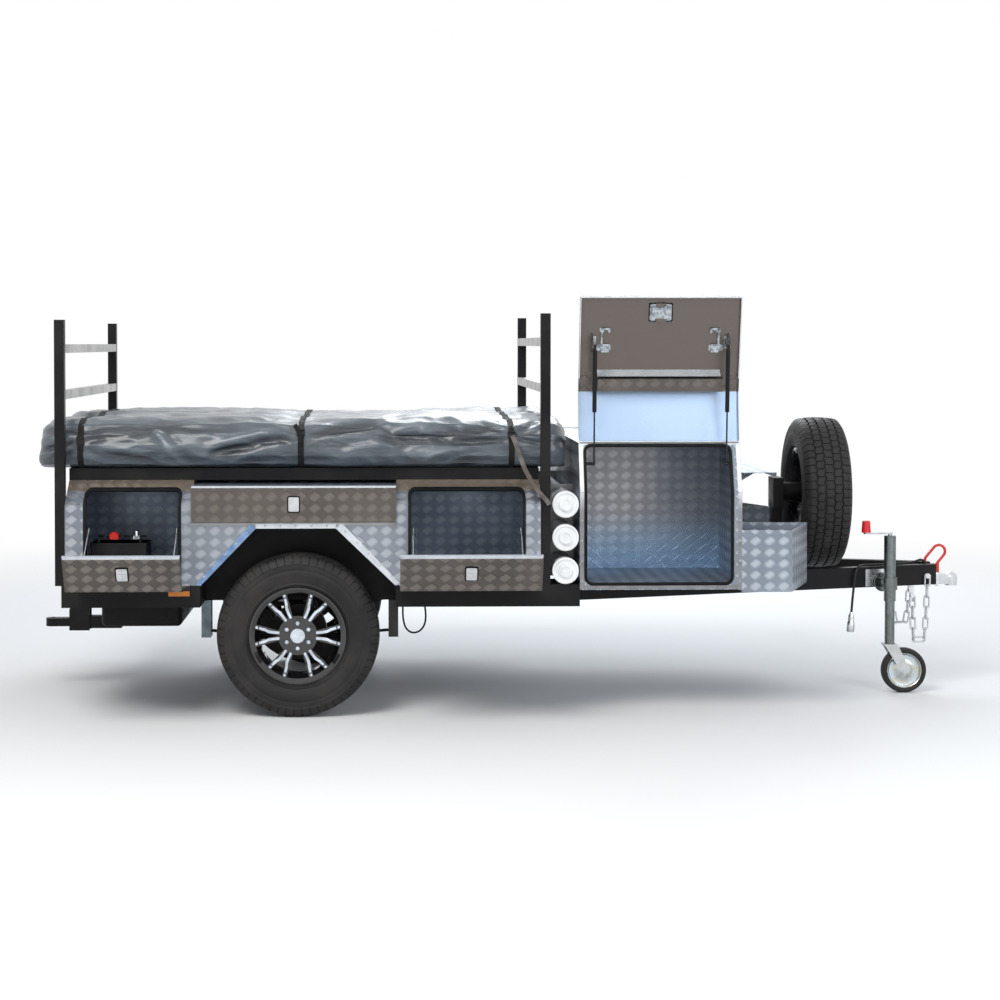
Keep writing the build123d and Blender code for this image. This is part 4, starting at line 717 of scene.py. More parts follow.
columns += [(radius, -across, 0.0, 0.0, notch, 0.0) for radius, across, notch in reversed(tyre_side)]


def wheel_point(wheel, radius, angle, out):
    _, _, centre, radial, axle = wheel
    arm = Vector(radial) * math.cos(angle) + Vector((0, 0, math.sin(angle)))
    return Vector(centre) + arm * radius + Vector(axle) * out


def finish_form(name, form, material, body, smooth_angle=None):
    """A made form becomes a piece: its faces outward, with its finish and its body."""
    bmesh.ops.recalc_face_normals(form, faces=form.faces)
    mesh = bpy.data.meshes.new(name)
    form.to_mesh(mesh)
    form.free()
    mesh.materials.append(material)
    if smooth_angle:
        mesh.shade_smooth()
        mesh.set_sharp_from_angle(angle=math.radians(smooth_angle))
    piece = place_in_scene(name, mesh)
    if body:
        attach(piece, body)
    return piece


for wheel in wheel_list:
    form = bmesh.new()
    rings = []
    for pitch in range(tyre_pitches):
        for row in pitch_rows:
            angle = math.tau * (pitch + row) / tyre_pitches
            swing = 4 * abs((row + 0.25) % 1 - 0.5) - 1
            ring = []
            for radius, across, bend, sunk, slot, phase in columns:
                depth = sunk + (slot if 0.03 < (row - phase) % 1 < 0.1 else 0.0)
                ring.append(form.verts.new(wheel_point(wheel, radius - depth, angle, across + bend * swing)))
            rings.append(ring)
    join_rings(form, rings, looped=True)
    tyre = finish_form(f"moulded_tyre_{wheel[0]}", form, rubber, wheel[1], 38)
    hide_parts(f"tyre_{wheel[0]}")

gloss_black = metal(
    "gloss_black_rim", (0.006, 0.006, 0.007), (0.02, 0.019, 0.019), 0.08, 0.2, scale=9.0,
    amount=0.4, metallic=0.0, grain=0.00004, coat=0.8,
)
machined = metal(
    "machined_alloy", (0.70, 0.76, 0.84), (0.42, 0.44, 0.48), 0.12, 0.28, scale=26.0, amount=0.6,
    grain=0.00005,
)
dress(gloss_black, "rim_near", "rim_far", "rim_spare")
rim_face = 0.080
face_low = rim_face - 0.003
face_high = rim_face + 0.0022
nut_circle = 0.0575
spoke_paths = [
    # radius, distance from the spoke pair's middle line, width of the bright face
    [
        (0.084, 0.0130, 0.0125), (0.112, 0.0150, 0.0140), (0.134, 0.0185, 0.0150),
        (0.150, 0.0270, 0.0150), (0.176, 0.0345, 0.0125),
    ],
    [(0.182, 0.0362, 0.0125), (0.196, 0.0402, 0.0125)],
]
cap_rings = [
    # radius, height over the rim's face
    (0.0345, 0.0), (0.0345, 0.0125), (0.0330, 0.0150), (0.0290, 0.0158), (0.0280, 0.0150),
    (0.0150, 0.0162), (0.0050, 0.0166),
]
nut_rings = [(0.0092, 0.0), (0.0092, 0.0165), (0.0072, 0.0182), (0.0030, 0.0186)]


def bright_face(form, wheel, pair_angle, side, path):
    """A thin plate along one spoke, with its edges broken."""
    sections = []
    for radius, shift, width in path:
        section = []
        half = width / 2
        for across, out in (
            (-half, face_low), (-half, face_high - 0.001), (0.001 - half, face_high),
            (half - 0.001, face_high), (half, face_high - 0.001), (half, face_low),
        ):
            lateral = side * (shift + across)
            turn = pair_angle + math.atan2(lateral, radius)
            section.append(form.verts.new(wheel_point(wheel, math.hypot(radius, lateral), turn, out)))
        sections.append(section)
    join_rings(form, sections, capped=True)


def turned_cap(form, wheel, profile, turn_steps=48, centre=(0.0, 0.0)):
    """A turned disc on the rim's face, from its rings of radius and height."""
    loops = []
    for radius, height in profile:
        loop = []
        for step in range(turn_steps):
            angle = math.tau * step / turn_steps
            east = centre[0] + radius * math.cos(angle)
            north = centre[1] + radius * math.sin(angle)
            place = wheel_point(wheel, math.hypot(east, north), math.atan2(north, east), rim_face + height)
            loop.append(form.verts.new(place))
        loops.append(loop)
    join_rings(form, loops, capped=True)


for wheel in wheel_list:
    form = bmesh.new()
    turned_cap(form, wheel, cap_rings)
    for sixth in range(6):
        for side in (-1, 1):
            for path in spoke_paths:
                bright_face(form, wheel, math.tau * sixth / 6, side, path)
        angle = math.radians(30 + 60 * sixth)
        centre = (nut_circle * math.cos(angle), nut_circle * math.sin(angle))
        turned_cap(form, wheel, nut_rings, 16, centre)
    finish_form(f"bright_faces_{wheel[0]}", form, machined, wheel[1], 30)

# Door and lid seals: black rubber pressed over the cut edge of each opening in the skin,
# one closed loop a side opening, with a soft bead that the shut door or lid bears on.
skin_half = 0.930
body_bend = 0.980
body_rim = (0.785, 1.083)
box_bend = 1.031
box_rim = (0.845, 1.255)
seal_openings = [
    # name, start x, end x, low z, high z, corner radius, height of the fold, rim
    ("rear_toolbox", -1.955, -1.527, 0.622, 1.042, 0.025, body_bend, body_rim),
    ("front_toolbox", -0.478, 0.043, 0.622, 1.042, 0.025, body_bend, body_rim),
    ("front_box", 0.327, 0.998, 0.613, 1.242, 0.030, box_bend, box_rim),
]
seal_profile = [
    # towards the opening, away from the skin
    (-0.0080, 0.0), (-0.0085, 0.0030), (-0.0060, 0.0055), (0.0010, 0.0062), (0.0050, 0.0050),
    (0.0060, 0.0010), (0.0055, -0.0060), (0.0020, -0.0075),
]
both_sides = (("near", -1), ("far", 1))
rubber_seal = metal(
    "black_edge_seal", (0.005, 0.005, 0.006), (0.012, 0.012, 0.012), 0.45, 0.6, scale=14.0,
    metallic=0.0, grain=0.0002, gloss=0.12,
)


def skin_place(x, z, fold, rim, side, out=0.0):
    """A point on a folded side sheet, and the sheet's outward direction there."""
    if z <= fold:
        direction = Vector((0, side, 0))
        place = Vector((x, side * skin_half, z))
    else:
        direction = Vector((0, side * (rim[1] - fold), skin_half - rim[0])).normalized()
        share = (z - fold) / (rim[1] - fold)
        place = Vector((x, side * (skin_half + (rim[0] - skin_half) * share), z))
    return place + direction * out, direction


def rounded_loop(start, end, low, high, radius, fold, steps=5):
    """Points round a rectangle with arcs at its corners, with two at the sheet's fold."""
    points = []
    for x, z, turn in (
        (end - radius, high - radius, 0), (start + radius, high - radius, 90),
        (start + radius, low + radius, 180), (end - radius, low + radius, 270),
    ):
        for step in range(steps + 1):
            angle = math.radians(turn + 90 * step / steps)
            points.append((x + radius * math.cos(angle), z + radius * math.sin(angle)))
        if turn == 90:
            points += [(start, fold + 0.002), (start, fold - 0.002)]
        if turn == 270:
            points += [(end, fold - 0.002), (end, fold + 0.002)]
    return points


for side_name, side in both_sides:
    for name, *limits, fold, rim in seal_openings:
        form = bmesh.new()
        loop = rounded_loop(*limits, fold)
        rings = []
        for index, (x, z) in enumerate(loop):
            run = (Vector(loop[(index + 1) % len(loop)]) - Vector(loop[index - 1])).normalized()
            rings.append([
                form.verts.new(skin_place(x - run.y * towards, z + run.x * towards, fold, rim, side, away)[0])
                for towards, away in seal_profile
            ])
        join_rings(form, rings, looped=True)
        finish_form(f"seal_{name}_{side_name}", form, rubber_seal, "root", 50)

# Wheel arch edges: bright folded strips riveted round each arch, smooth against the
# patterned sheet, wide on the slopes and narrow over the top, with a lip into the arch.
arch_corners = [(-1.434, 0.610), (-1.181, 0.872), (-0.815, 0.872), (-0.543, 0.610)]
arch_widths = (0.030, 0.019, 0.034)
arch_tips = {
    # band: corner of its outline that meets the sill, and the corner's place along x and z
    0: (3, (-1.456, 0.614)),
    2: (2, (-0.526, 0.622)),
}
band_thickness = 0.0022
lip_depth = 0.014
polished_strip = metal(
    "polished_strip", (0.70, 0.73, 0.77), (0.44, 0.47, 0.52), 0.16, 0.34, scale=16.0, amount=0.5,
    metallic=0.55,
)
# painted sky reflection: the strip on each arch's rear slope is a blue copy of the polished strip
sky_reflection_strip = metal(
    "sky_lit_strip", (0.24, 0.36, 0.58), (0.12, 0.20, 0.36), 0.16, 0.34, scale=26.0, amount=0.8,
    metallic=0.7,
)


def slab(form, corners, direction, low, high):
    """A flat plate: its outline raised from one level to another along a direction."""
    levels = [
        [form.verts.new(Vector(corner) + direction * level) for corner in corners] for level in (low, high)
    ]
    join_rings(form, levels, capped=True)


for side_name, side in both_sides:
    for band, (width, start, end) in enumerate(zip(arch_widths, arch_corners, arch_corners[1:])):
        form = bmesh.new()
        start, end = Vector(start), Vector(end)
        run = (end - start).normalized()
        up = Vector((-run.y, run.x))
        outline = [start, end, end + up * width, start + up * width]
        if band in arch_tips:
            corner, tip = arch_tips[band]
            outline[corner] = Vector(tip)
        lip = [start, end, end - up * band_thickness, start - up * band_thickness]
        for points, low in ((outline, -0.0005), (lip, -lip_depth)):
            corners = [(point.x, side * skin_half, point.y) for point in points]
            slab(form, corners, Vector((0, side, 0)), low, band_thickness)
        finish = polished_strip if band else sky_reflection_strip
        finish_form(f"arch_edge_{band}_{side_name}", form, finish, "root")

# Latches: pressed dishes with a lifting handle, one in the middle of each door and lid,
# set on a black gasket. The doors' and lids' parts are placed on the shut door, then turned.
door_pin = (0.934, 0.612)
door_turn = math.radians(-85)
lid_pin = (0.8495, 1.257)
lid_turn = math.radians(166.2)
gasket_plates = [(0.0, 0.0, 0.02975, 0.0385, 0.008, -0.001, 0.0015)]
dish_plates = [
    # middle across and up, half width, half height, corner, levels over the door
    (0.0, 0.0, 0.02375, 0.0325, 0.006, 0.001, 0.0052),
    (0.0, -0.00975, 0.01775, 0.01575, 0.004, 0.0045, 0.0090),
    (0.0, 0.01875, 0.01475, 0.00775, 0.006, 0.0045, 0.0070),
    (0.0, 0.01875, 0.0065, 0.00575, 0.0055, 0.0065, 0.0100),
]


def turned_place(x, out, z, side, pin, turn):
    """Where a point of a shut door or lid stands once the door is turned about its pin."""
    east, rise = out - pin[0], z - pin[1]
    return Vector((
        x,
        side * (pin[0] + east * math.cos(turn) - rise * math.sin(turn)),
        pin[1] + east * math.sin(turn) + rise * math.cos(turn),
    ))


def box_outline(x, z, half_wide, half_high, corner=0.0):
    """Corners of an upright rectangle, its corners cut off."""
    points = []
    for east, north, turn in ((1, 1, 0), (-1, 1, 90), (-1, -1, 180), (1, -1, 270)):
        for step in range(4 if corner else 1):
            angle = math.radians(turn + 30 * step)
            points.append((
                x + east * (half_wide - corner) + corner * math.cos(angle),
                z + north * (half_high - corner) + corner * math.sin(angle),
            ))
    return points


def latch(name, place, upward, outward, body):
    """Gasket, dish, handle and lock barrel of one latch."""
    upward, outward = Vector(upward).normalized(), Vector(outward).normalized()
    sideways = upward.cross(outward)
    for part, plates, finish, slot in (
        ("gasket", gasket_plates, rubber_seal, "black_plastic"),
        ("dish", dish_plates, bright_zinc, "silver_aluminium"),
    ):
        form = bmesh.new()
        for *shape, low, high in plates:
            corners = [place + sideways * x + upward * z for x, z in box_outline(*shape)]
            slab(form, corners, outward, low, high)
        finish_form(f"{name}_{part}", form, finish, body)


def turned_latch(name, place, facet, side, pin, turn, body):
    """A latch on a shut door or lid, whose own upward direction is the facet, turned with it."""
    x, out, z = place
    spots = [
        turned_place(x, out + ahead, z + above, side, pin, turn)
        for ahead, above in ((0, 0), facet, (facet[1], -facet[0]))
    ]
    latch(name, spots[0], spots[1] - spots[0], spots[2] - spots[0], body)


toolbox_latches = (("door_rear", -1.733), ("door_front", -0.212))
toolbox_latch = (0.87566, 1.04681)
toolbox_facet = tuple(Vector((-0.145, 0.103)).normalized())
lid_latch = (0.6715, 0.953, 0.665)
for side_name, side in both_sides:
    for door, x in toolbox_latches:
        turned_latch(
            f"latch_{door}_{side_name}", (x, *toolbox_latch), toolbox_facet, side, door_pin, door_turn,
            f"{door}_{side_name}",
        )
    latch(
        f"latch_door_centre_{side_name}", Vector((-1.0065, side * 0.953, 0.9815)), (0, 0, 1), (0, side, 0),
        f"door_centre_{side_name}",
    )
for number, y in enumerate((-0.192, 0.192)):
    latch(f"latch_tailgate_{number}", Vector((-2.073, y, 0.992)), (0, 0, 1), (-1, 0, 0), "tailgate")
latch("latch_lid_far", Vector(lid_latch), (0, 0, 1), (0, 1, 0), "lid_far")
turned_latch("latch_lid_near", lid_latch, (0, 1), -1, lid_pin, lid_turn, "lid_near")

# Tent straps: three black webbing straps drawn tight over the bundle, each with a buckle
# on the near flank, and the loose tail of the front one hanging over the toolbox.
webbing, tree, shader, place = new_material("black_webbing")
threads = node_of(tree, "ShaderNodeTexWave", wave_type="BANDS", bands_direction="DIAGONAL")
threads.inputs["Scale"].default_value = 190
feed(tree, threads.inputs["Vector"], place)
soil = use_group(
    tree, wear, Place=place, Clean=(0.006, 0.006, 0.007, 1), Soiled=(0.016, 0.015, 0.014, 1),
    Scale=22.0, Amount=0.7, Smooth=0.6, Rough=0.8,
)
finish_shader(
    tree, shader,
    {
        "Base Color": soil["Color"], "Roughness": soil["Roughness"],
        "Normal": raised(tree, threads.outputs[0], 0.0004),
    },
    Sheen_Weight=0.04, Specular_IOR_Level=0.2,
)
worn_webbing = webbing.copy()
worn_webbing.name = "worn_webbing"
for node in worn_webbing.node_tree.nodes:
    if node.type == "GROUP":
        node.inputs["Clean"].default_value = (0.10, 0.085, 0.075, 1)
        node.inputs["Soiled"].default_value = (0.20, 0.18, 0.165, 1)


def webbing_band(form, path, thickness=0.0022):
    """Flat webbing along a path: each point has its outward direction and half its breadth."""
    sections = []
    for point, outward, aside in path:
        lift = outward.normalized() * thickness
        section = [point - aside, point - aside + lift, point + aside + lift, point + aside]
        sections.append([form.verts.new(corner) for corner in section])
    join_rings(form, sections, capped=True)


# The bundle's own surface, to lay the straps on it
cover_tree = BVHTree.FromPolygons(
    [vert.co.copy() for vert in cover_mesh.vertices], [tuple(face.vertices) for face in cover_mesh.polygons]
)
strap_aside = Vector((0.0135, 0, 0))
strap_rays = 120
strap_middle_z = 1.235
strap_list = [
    # middle x on the top, lean of the near end along x, height of its buckle
    (-2.000, 0.012, 1.268), (-0.979, 0.0, 1.300), (-0.012, 0.004, 1.290),
]
buckle_plates = [
    # low and high edge, half width, thickness
    (-0.020, 0.020, 0.0185, 0.009), (-0.027, -0.020, 0.0165, 0.007), (0.006, 0.016, 0.0150, 0.013),
]
for number, (x, lean, buckle_z) in enumerate(strap_list):
    laid = []
    for step in range(strap_rays + 1):
        angle = math.radians(-32 + 244 * step / strap_rays)
        x_here = x + lean * max(0.0, math.cos(angle))
        start = Vector((x_here, -1.4 * math.cos(angle), strap_middle_z + 0.7 * math.sin(angle)))
        target = Vector((x_here, -0.70 * math.cos(angle), strap_middle_z))
        hit, facing, _, _ = cover_tree.ray_cast(start, (target - start).normalized())
        if hit is not None:
            laid.append((hit, facing))
    near_flank = [spot for spot in laid if spot[0].y < -0.6]
    place, facing = min(near_flank, key=lambda spot: abs(spot[0].z - buckle_z))
    up = (Vector((0, 0, 1)) - facing * facing.z).normalized()
    path = []
    for index, (hit, normal) in enumerate(laid):
        around = laid[max(0, index - 2):index + 3]
        middle = sum((spot + way * 0.0012 for spot, way in around), Vector()) / len(around)
        mean = sum((way for _, way in around), Vector()).normalized()
        path.append((middle.lerp(hit + normal * 0.0012, 0.35) + mean * 0.0015, mean, strap_aside))
    ends = [
        (Vector((spot.x, math.copysign(0.775, spot.y), 1.137)), Vector((0, 0, -1)), strap_aside)
        for spot in (path[0][0], path[-1][0])
    ]
    form = bmesh.new()
    webbing_band(form, [ends[0], *path, ends[1]])
    finish_form(f"tent_strap_{number}", form, webbing, "root")
    form = bmesh.new()
    for low, high, half_wide, depth in buckle_plates:
        corners = [
            place + Vector((east, 0, 0)) + up * north
            for east, north in ((-half_wide, low), (half_wide, low), (half_wide, high), (-half_wide, high))
        ]
        slab(form, corners, facing, 0.001, depth)
    bmesh.ops.bevel(form, geom=form.edges[:], offset=0.0015, segments=2, affect="EDGES")
    finish_form(f"strap_buckle_{number}", form, black_plastic, "root", 40)

# Loose tails: flat webbing that hangs from a buckle, turned on its edge by its own twist
tail_half = 0.0105
tail_list = [
    # name, points as x, y, z; finish
    ("front_tail", [
        (-0.008, -0.868, 1.290), (0.004, -0.882, 1.262), (0.022, -0.900, 1.205), (0.046, -0.922, 1.140),
        (0.078, -0.945, 1.078), (0.112, -0.952, 1.032), (0.142, -0.948, 1.000), (0.158, -0.946, 0.978),
    ], worn_webbing),
    ("middle_tail", [
        (-1.006, -0.850, 1.340), (-0.992, -0.868, 1.318), (-0.981, -0.874, 1.296), (-0.979, -0.872, 1.262),
    ], webbing),
]
for name, points, finish in tail_list:
    path = []
    points = [Vector(point) for point in points]
    for index, point in enumerate(points):
        run = (points[min(len(points) - 1, index + 1)] - points[max(0, index - 1)]).normalized()
        outward = Vector((0, -1, 0)) + run * run.y
        path.append((point, outward, run.cross(outward).normalized() * tail_half))
    form = bmesh.new()
    webbing_band(form, path, 0.002)
    finish_form(f"strap_{name}", form, finish, "root", 40)

# Jockey wheel and hitch: solid rubber tyre on a pressed zinc disc, red grip on the crank,
# and clamp plates with their bolts on the drawbar.
castor_centre = (1.950, -0.266, 0.110)
castor_tyre = [
    # radius, distance from the middle plane
    (0.0860, -0.0230), (0.0900, -0.0262), (0.0990, -0.0275), (0.1060, -0.0240), (0.1092, -0.0160),
    (0.1099, 0.0), (0.1092, 0.0160), (0.1060, 0.0240), (0.0990, 0.0275), (0.0900, 0.0262),
    (0.0860, 0.0230), (0.0850, 0.0),
]
castor_disc_half = [
    (0.0870, -0.0215), (0.0840, -0.0240), (0.0800, -0.0215), (0.0740, -0.0120), (0.0560, -0.0090),
    (0.0430, -0.0120), (0.0330, -0.0190), (0.0240, -0.0255), (0.0150, -0.0275), (0.0105, -0.0275),
]
castor_disc = castor_disc_half + [(radius, -along) for radius, along in reversed(castor_disc_half)]
passivated = metal(
    "passivated_zinc", (0.62, 0.68, 0.72), (0.50, 0.47, 0.34), 0.18, 0.36, scale=34.0, amount=0.7
)


def turned(form, centre, axle, radial, profile, steps=64):
    """A closed profile turned about an axle through a centre."""
    centre, axle, radial = Vector(centre), Vector(axle), Vector(radial)
    other = axle.cross(radial)
    rings = []
    for step in range(steps):
        angle = math.tau * step / steps
        arm = radial * math.cos(angle) + other * math.sin(angle)
        rings.append([form.verts.new(centre + arm * radius + axle * along) for radius, along in profile])
    join_rings(form, rings, looped=True)


form = bmesh.new()
turned(form, castor_centre, (0, 1, 0), (1, 0, 0), castor_tyre)
castor_rubber = finish_form("castor_tyre", form, rubber, "jockey_wheel", 40)
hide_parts("jockey_wheel")
form = bmesh.new()
turned(form, castor_centre, (0, 1, 0), (1, 0, 0), castor_disc)
finish_form("castor_disc", form, passivated, "jockey_wheel", 40)


def masked_finish(name, mask, first, second, first_metal, second_metal, smooth=0.3):
    """One casting with two colours told apart by place; they are two finishes, except on the box frame, whose
    pale upper part is a painted sky reflection.
    """
    material, tree, shader, place = new_material(name)
    share = mask(tree, along_axes(tree, place))
    soil = use_group(
        tree, wear, Place=place, Clean=(*first, 1), Soiled=(*(0.6 * tone for tone in first), 1),
        Scale=25.0, Amount=0.6, Smooth=smooth, Rough=smooth + 0.18,
    )
    finish_shader(tree, shader, {
        "Base Color": blend_colours(tree, share, soil["Color"], (*second, 1)),
        "Roughness": soil["Roughness"],
        "Metallic": ramp(tree, share, 0.0, 1.0, first_metal, second_metal),
    })
    return material


def on_the_grip(tree, place):
    return times(tree, ramp(tree, place[0], 1.787, 1.788, 1.0, 0.0), ramp(tree, place[2], 0.7862, 0.7868))


def on_the_side(tree, place):
    return ramp(tree, place[0], -1.65, -1.64)


def ahead_of_the_wheel(tree, place):
    return ramp(tree, place[0], -1.20, -1.19)


crank_finish = masked_finish(
    "crank_with_red_grip", on_the_grip, (0.50, 0.52, 0.54), (0.60, 0.012, 0.02), 1.0, 0.0
)
lamp_finish = masked_finish(
    "lamp_lenses", on_the_side, (0.48, 0.012, 0.008), (0.62, 0.19, 0.015), 0.0, 0.0, 0.12
)
hanger_finish = masked_finish(
    "spring_hanger_plates", ahead_of_the_wheel, (0.17, 0.22, 0.25), (0.010, 0.010, 0.011), 0.6, 0.0
)
tube_steel = metal(
    "dull_galvanised_tube", (0.20, 0.22, 0.215), (0.12, 0.13, 0.13), 0.26, 0.42, scale=30.0, amount=0.6
)
pale_zinc = metal(
    "pale_zinc_paint", (0.55, 0.56, 0.56), (0.40, 0.41, 0.41), 0.4, 0.55, scale=30.0, metallic=0.4
)
dress(hanger_finish, "spring_hangers")
dress(crank_finish, "jockey_crank")
dress(lamp_finish, "lamps")
dress(tube_steel, "jockey_tube", "jockey_leg")
dress(pale_zinc, "jockey_fork")
dress(bright_zinc, "coupling_head", "jockey_bracket", "safety_chains")

# Trailer lead: black rubber cable from the coupling back along the drawbar to its metal
# plug, which hangs behind the jockey clamp, and the brake wire in a loop under the rail.
lead_route = [
    (2.1545, -0.012, 0.585), (2.128, -0.014, 0.598), (2.095, -0.040, 0.634), (2.045, -0.088, 0.6225),
    (1.985, -0.113, 0.6172), (1.925, -0.135, 0.6170), (1.865, -0.156, 0.6172), (1.805, -0.178, 0.6170),
    (1.762, -0.202, 0.6190), (1.730, -0.236, 0.6160), (1.716, -0.2490, 0.588), (1.709, -0.2505, 0.540),
    (1.703, -0.2515, 0.485), (1.698, -0.2515, 0.432), (1.695, -0.2515, 0.388),
]
wire_route = [
    (-0.412, -0.628, 0.5095), (-0.405, -0.636, 0.470), (-0.401, -0.645, 0.425), (-0.409, -0.650, 0.385),
    (-0.434, -0.652, 0.358), (-0.468, -0.651, 0.352), (-0.496, -0.648, 0.372), (-0.508, -0.643, 0.410),
    (-0.511, -0.636, 0.460), (-0.509, -0.628, 0.5095),
]
lead_radius = 0.0060
wire_radius = 0.0045
plug_down = (-0.05, 0, -0.9987)
plug_across = (1, 0, -0.05)
plug_profile = [
    # radius, distance below the cable's end
    (0.0070, -0.006), (0.0100, 0.004), (0.0135, 0.012), (0.0150, 0.024), (0.0150, 0.040), (0.0185, 0.046),
    (0.0195, 0.060), (0.0195, 0.086), (0.0170, 0.092), (0.0030, 0.092), (0.0030, -0.006),
]
cable_rubber = metal(
    "cable_rubber", (0.008, 0.008, 0.009), (0.02, 0.02, 0.02), 0.4, 0.6, scale=40.0, metallic=0.0,
    gloss=0.3,
)


def cable(name, route, radius):
    """Free cable on one smooth NURBS line through its route."""
    curve = bpy.data.curves.new(name, "CURVE")
    curve.dimensions = "3D"
    line = curve.splines.new("NURBS")
    line.points.add(len(route) - 1)
    for point, place in zip(line.points, route):
        point.co = (*place, 1)
    line.order_u = 3
    line.use_endpoint_u = True
    line.resolution_u = 8
    curve.bevel_depth = radius
    curve.bevel_resolution = 4
    curve.use_fill_caps = True
    curve.materials.append(cable_rubber)
    piece = place_in_scene(name, curve)
    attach(piece, "root")
    return piece


lead = cable("trailer_lead", lead_route, lead_radius)
wire = cable("brake_wire", wire_route, wire_radius)
form = bmesh.new()
turned(form, lead_route[-1], plug_down, plug_across, plug_profile, 32)
plug = finish_form("lead_plug", form, bright_zinc, "root", 35)

# Door stays: thin bright rods from the jamb to the dropped door, two to a door, each a straight
# rod with an eye at both ends.
stay_radius = 0.0032
stay_eye_radius = 2 * stay_radius
stay_top = (0.905, 0.868)
stay_foot = (1.225, 0.642)
stay_steps = 24
stay_corners = 10
stay_doors = [
    # door, x of its two stays
    ("door_rear", (-1.940, -1.540)), ("door_front", (-0.464, 0.030)),
]
for side_name, side in both_sides:
    for door, places in stay_doors:
        for number, x in enumerate(places):
            top, foot = (Vector((x, side * out, z)) for out, z in (stay_top, stay_foot))
            aside = Vector((1, 0, 0))
            other = (foot - top).normalized().cross(aside)
            form = bmesh.new()
            rings = []
            for step in range(stay_steps + 1):
                thick = stay_radius if 1 < step < stay_steps - 1 else stay_eye_radius
                middle = top.lerp(foot, step / stay_steps)
                ring = []
                for corner in range(stay_corners):
                    angle = math.tau * corner / stay_corners
                    arm = aside * math.cos(angle) + other * math.sin(angle)
                    ring.append(form.verts.new(middle + arm * thick))
                rings.append(ring)
            join_rings(form, rings, capped=True)
            stay = finish_form(f"stay_{door}_{side_name}_{number}", form, bright_zinc, None, 50)
            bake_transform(stay)

# Lid fittings: a lock box in the middle of the inner panel, a slam latch and a strut foot
# towards each end, and polished folds along the lid's free edges and over its stiffener.
lids = [("near", -1, lid_turn), ("far", 1, 0.0)]
lid_middle = 0.6715
lid_inner = 0.950
lid_flange = 0.935
lock_z = 0.665
strut_reach = 0.305
slam_reach = 0.259
strut_foot_z = 0.8076
screw_spread = (0.043, 0.0315)
lock_gasket = [(0.0, 0.0, 0.0555, 0.0440, 0.006, -0.0005, 0.0015)]
lock_plates = [
    # middle across and up, half width, half height, corner, levels inward from the panel
    (0.0, 0.0, 0.0505, 0.0390, 0.008, 0.001, 0.0038), (0.0, 0.0, 0.0460, 0.0250, 0.004, 0.003, 0.0192),
    (0.0, 0.0, 0.0400, 0.0200, 0.005, 0.019, 0.0212), (0.018, -0.004, 0.0070, 0.0300, 0.006, 0.021, 0.0240),
    (-0.014, 0.006, 0.0170, 0.0060, 0.005, 0.021, 0.0235),
]
end_plates = [
    # distance from the middle, height, then as above
    (0.259, 0.832, 0.0330, 0.0150, 0.006, -0.0005, 0.0030),
    (0.253, 0.832, 0.0180, 0.0200, 0.005, 0.002, 0.0130),
    (0.269, 0.784, 0.0040, 0.0480, 0.003, 0.004, 0.0110),
    (0.253, 0.742, 0.0210, 0.0050, 0.004, 0.004, 0.0110),
    (0.235, 0.750, 0.0050, 0.0110, 0.004, -0.0005, 0.0130),
    (0.269, 0.748, 0.0100, 0.0110, 0.004, -0.0005, 0.0050),
    (strut_reach, strut_foot_z, 0.0110, 0.0300, 0.005, -0.0005, 0.0030),
]
fold_strips = [
    # middle x and z, half width, half height
    (lid_middle, 0.5925, 0.3705, 0.0022), (0.3028, 0.785, 0.0020, 0.190), (1.0402, 0.785, 0.0020, 0.190),
]
lid_ramp = [
    # x, distance out and height of the polished fold's corners on the shut lid
    (0.384, lid_inner, 0.9375), (0.953, lid_inner, 0.9375), (0.953, 0.908, 0.9580), (0.384, 0.908, 0.9580),
]
fitting_steel = metal(
    "latch_steel", (0.50, 0.54, 0.57), (0.16, 0.18, 0.20), 0.16, 0.36, scale=60.0, amount=0.9
)


def lid_slab(form, side, turn, outline, low, high, out=lid_inner):
    """A plate on a lid's inner panel, its levels measured from the panel inwards."""
    corners = [turned_place(x, out, z, side, lid_pin, turn) for x, z in outline]
    outward = turned_place(0, 1, 0, side, lid_pin, turn) - turned_place(0, 0, 0, side, lid_pin, turn)
    slab(form, corners, -outward, low, high)


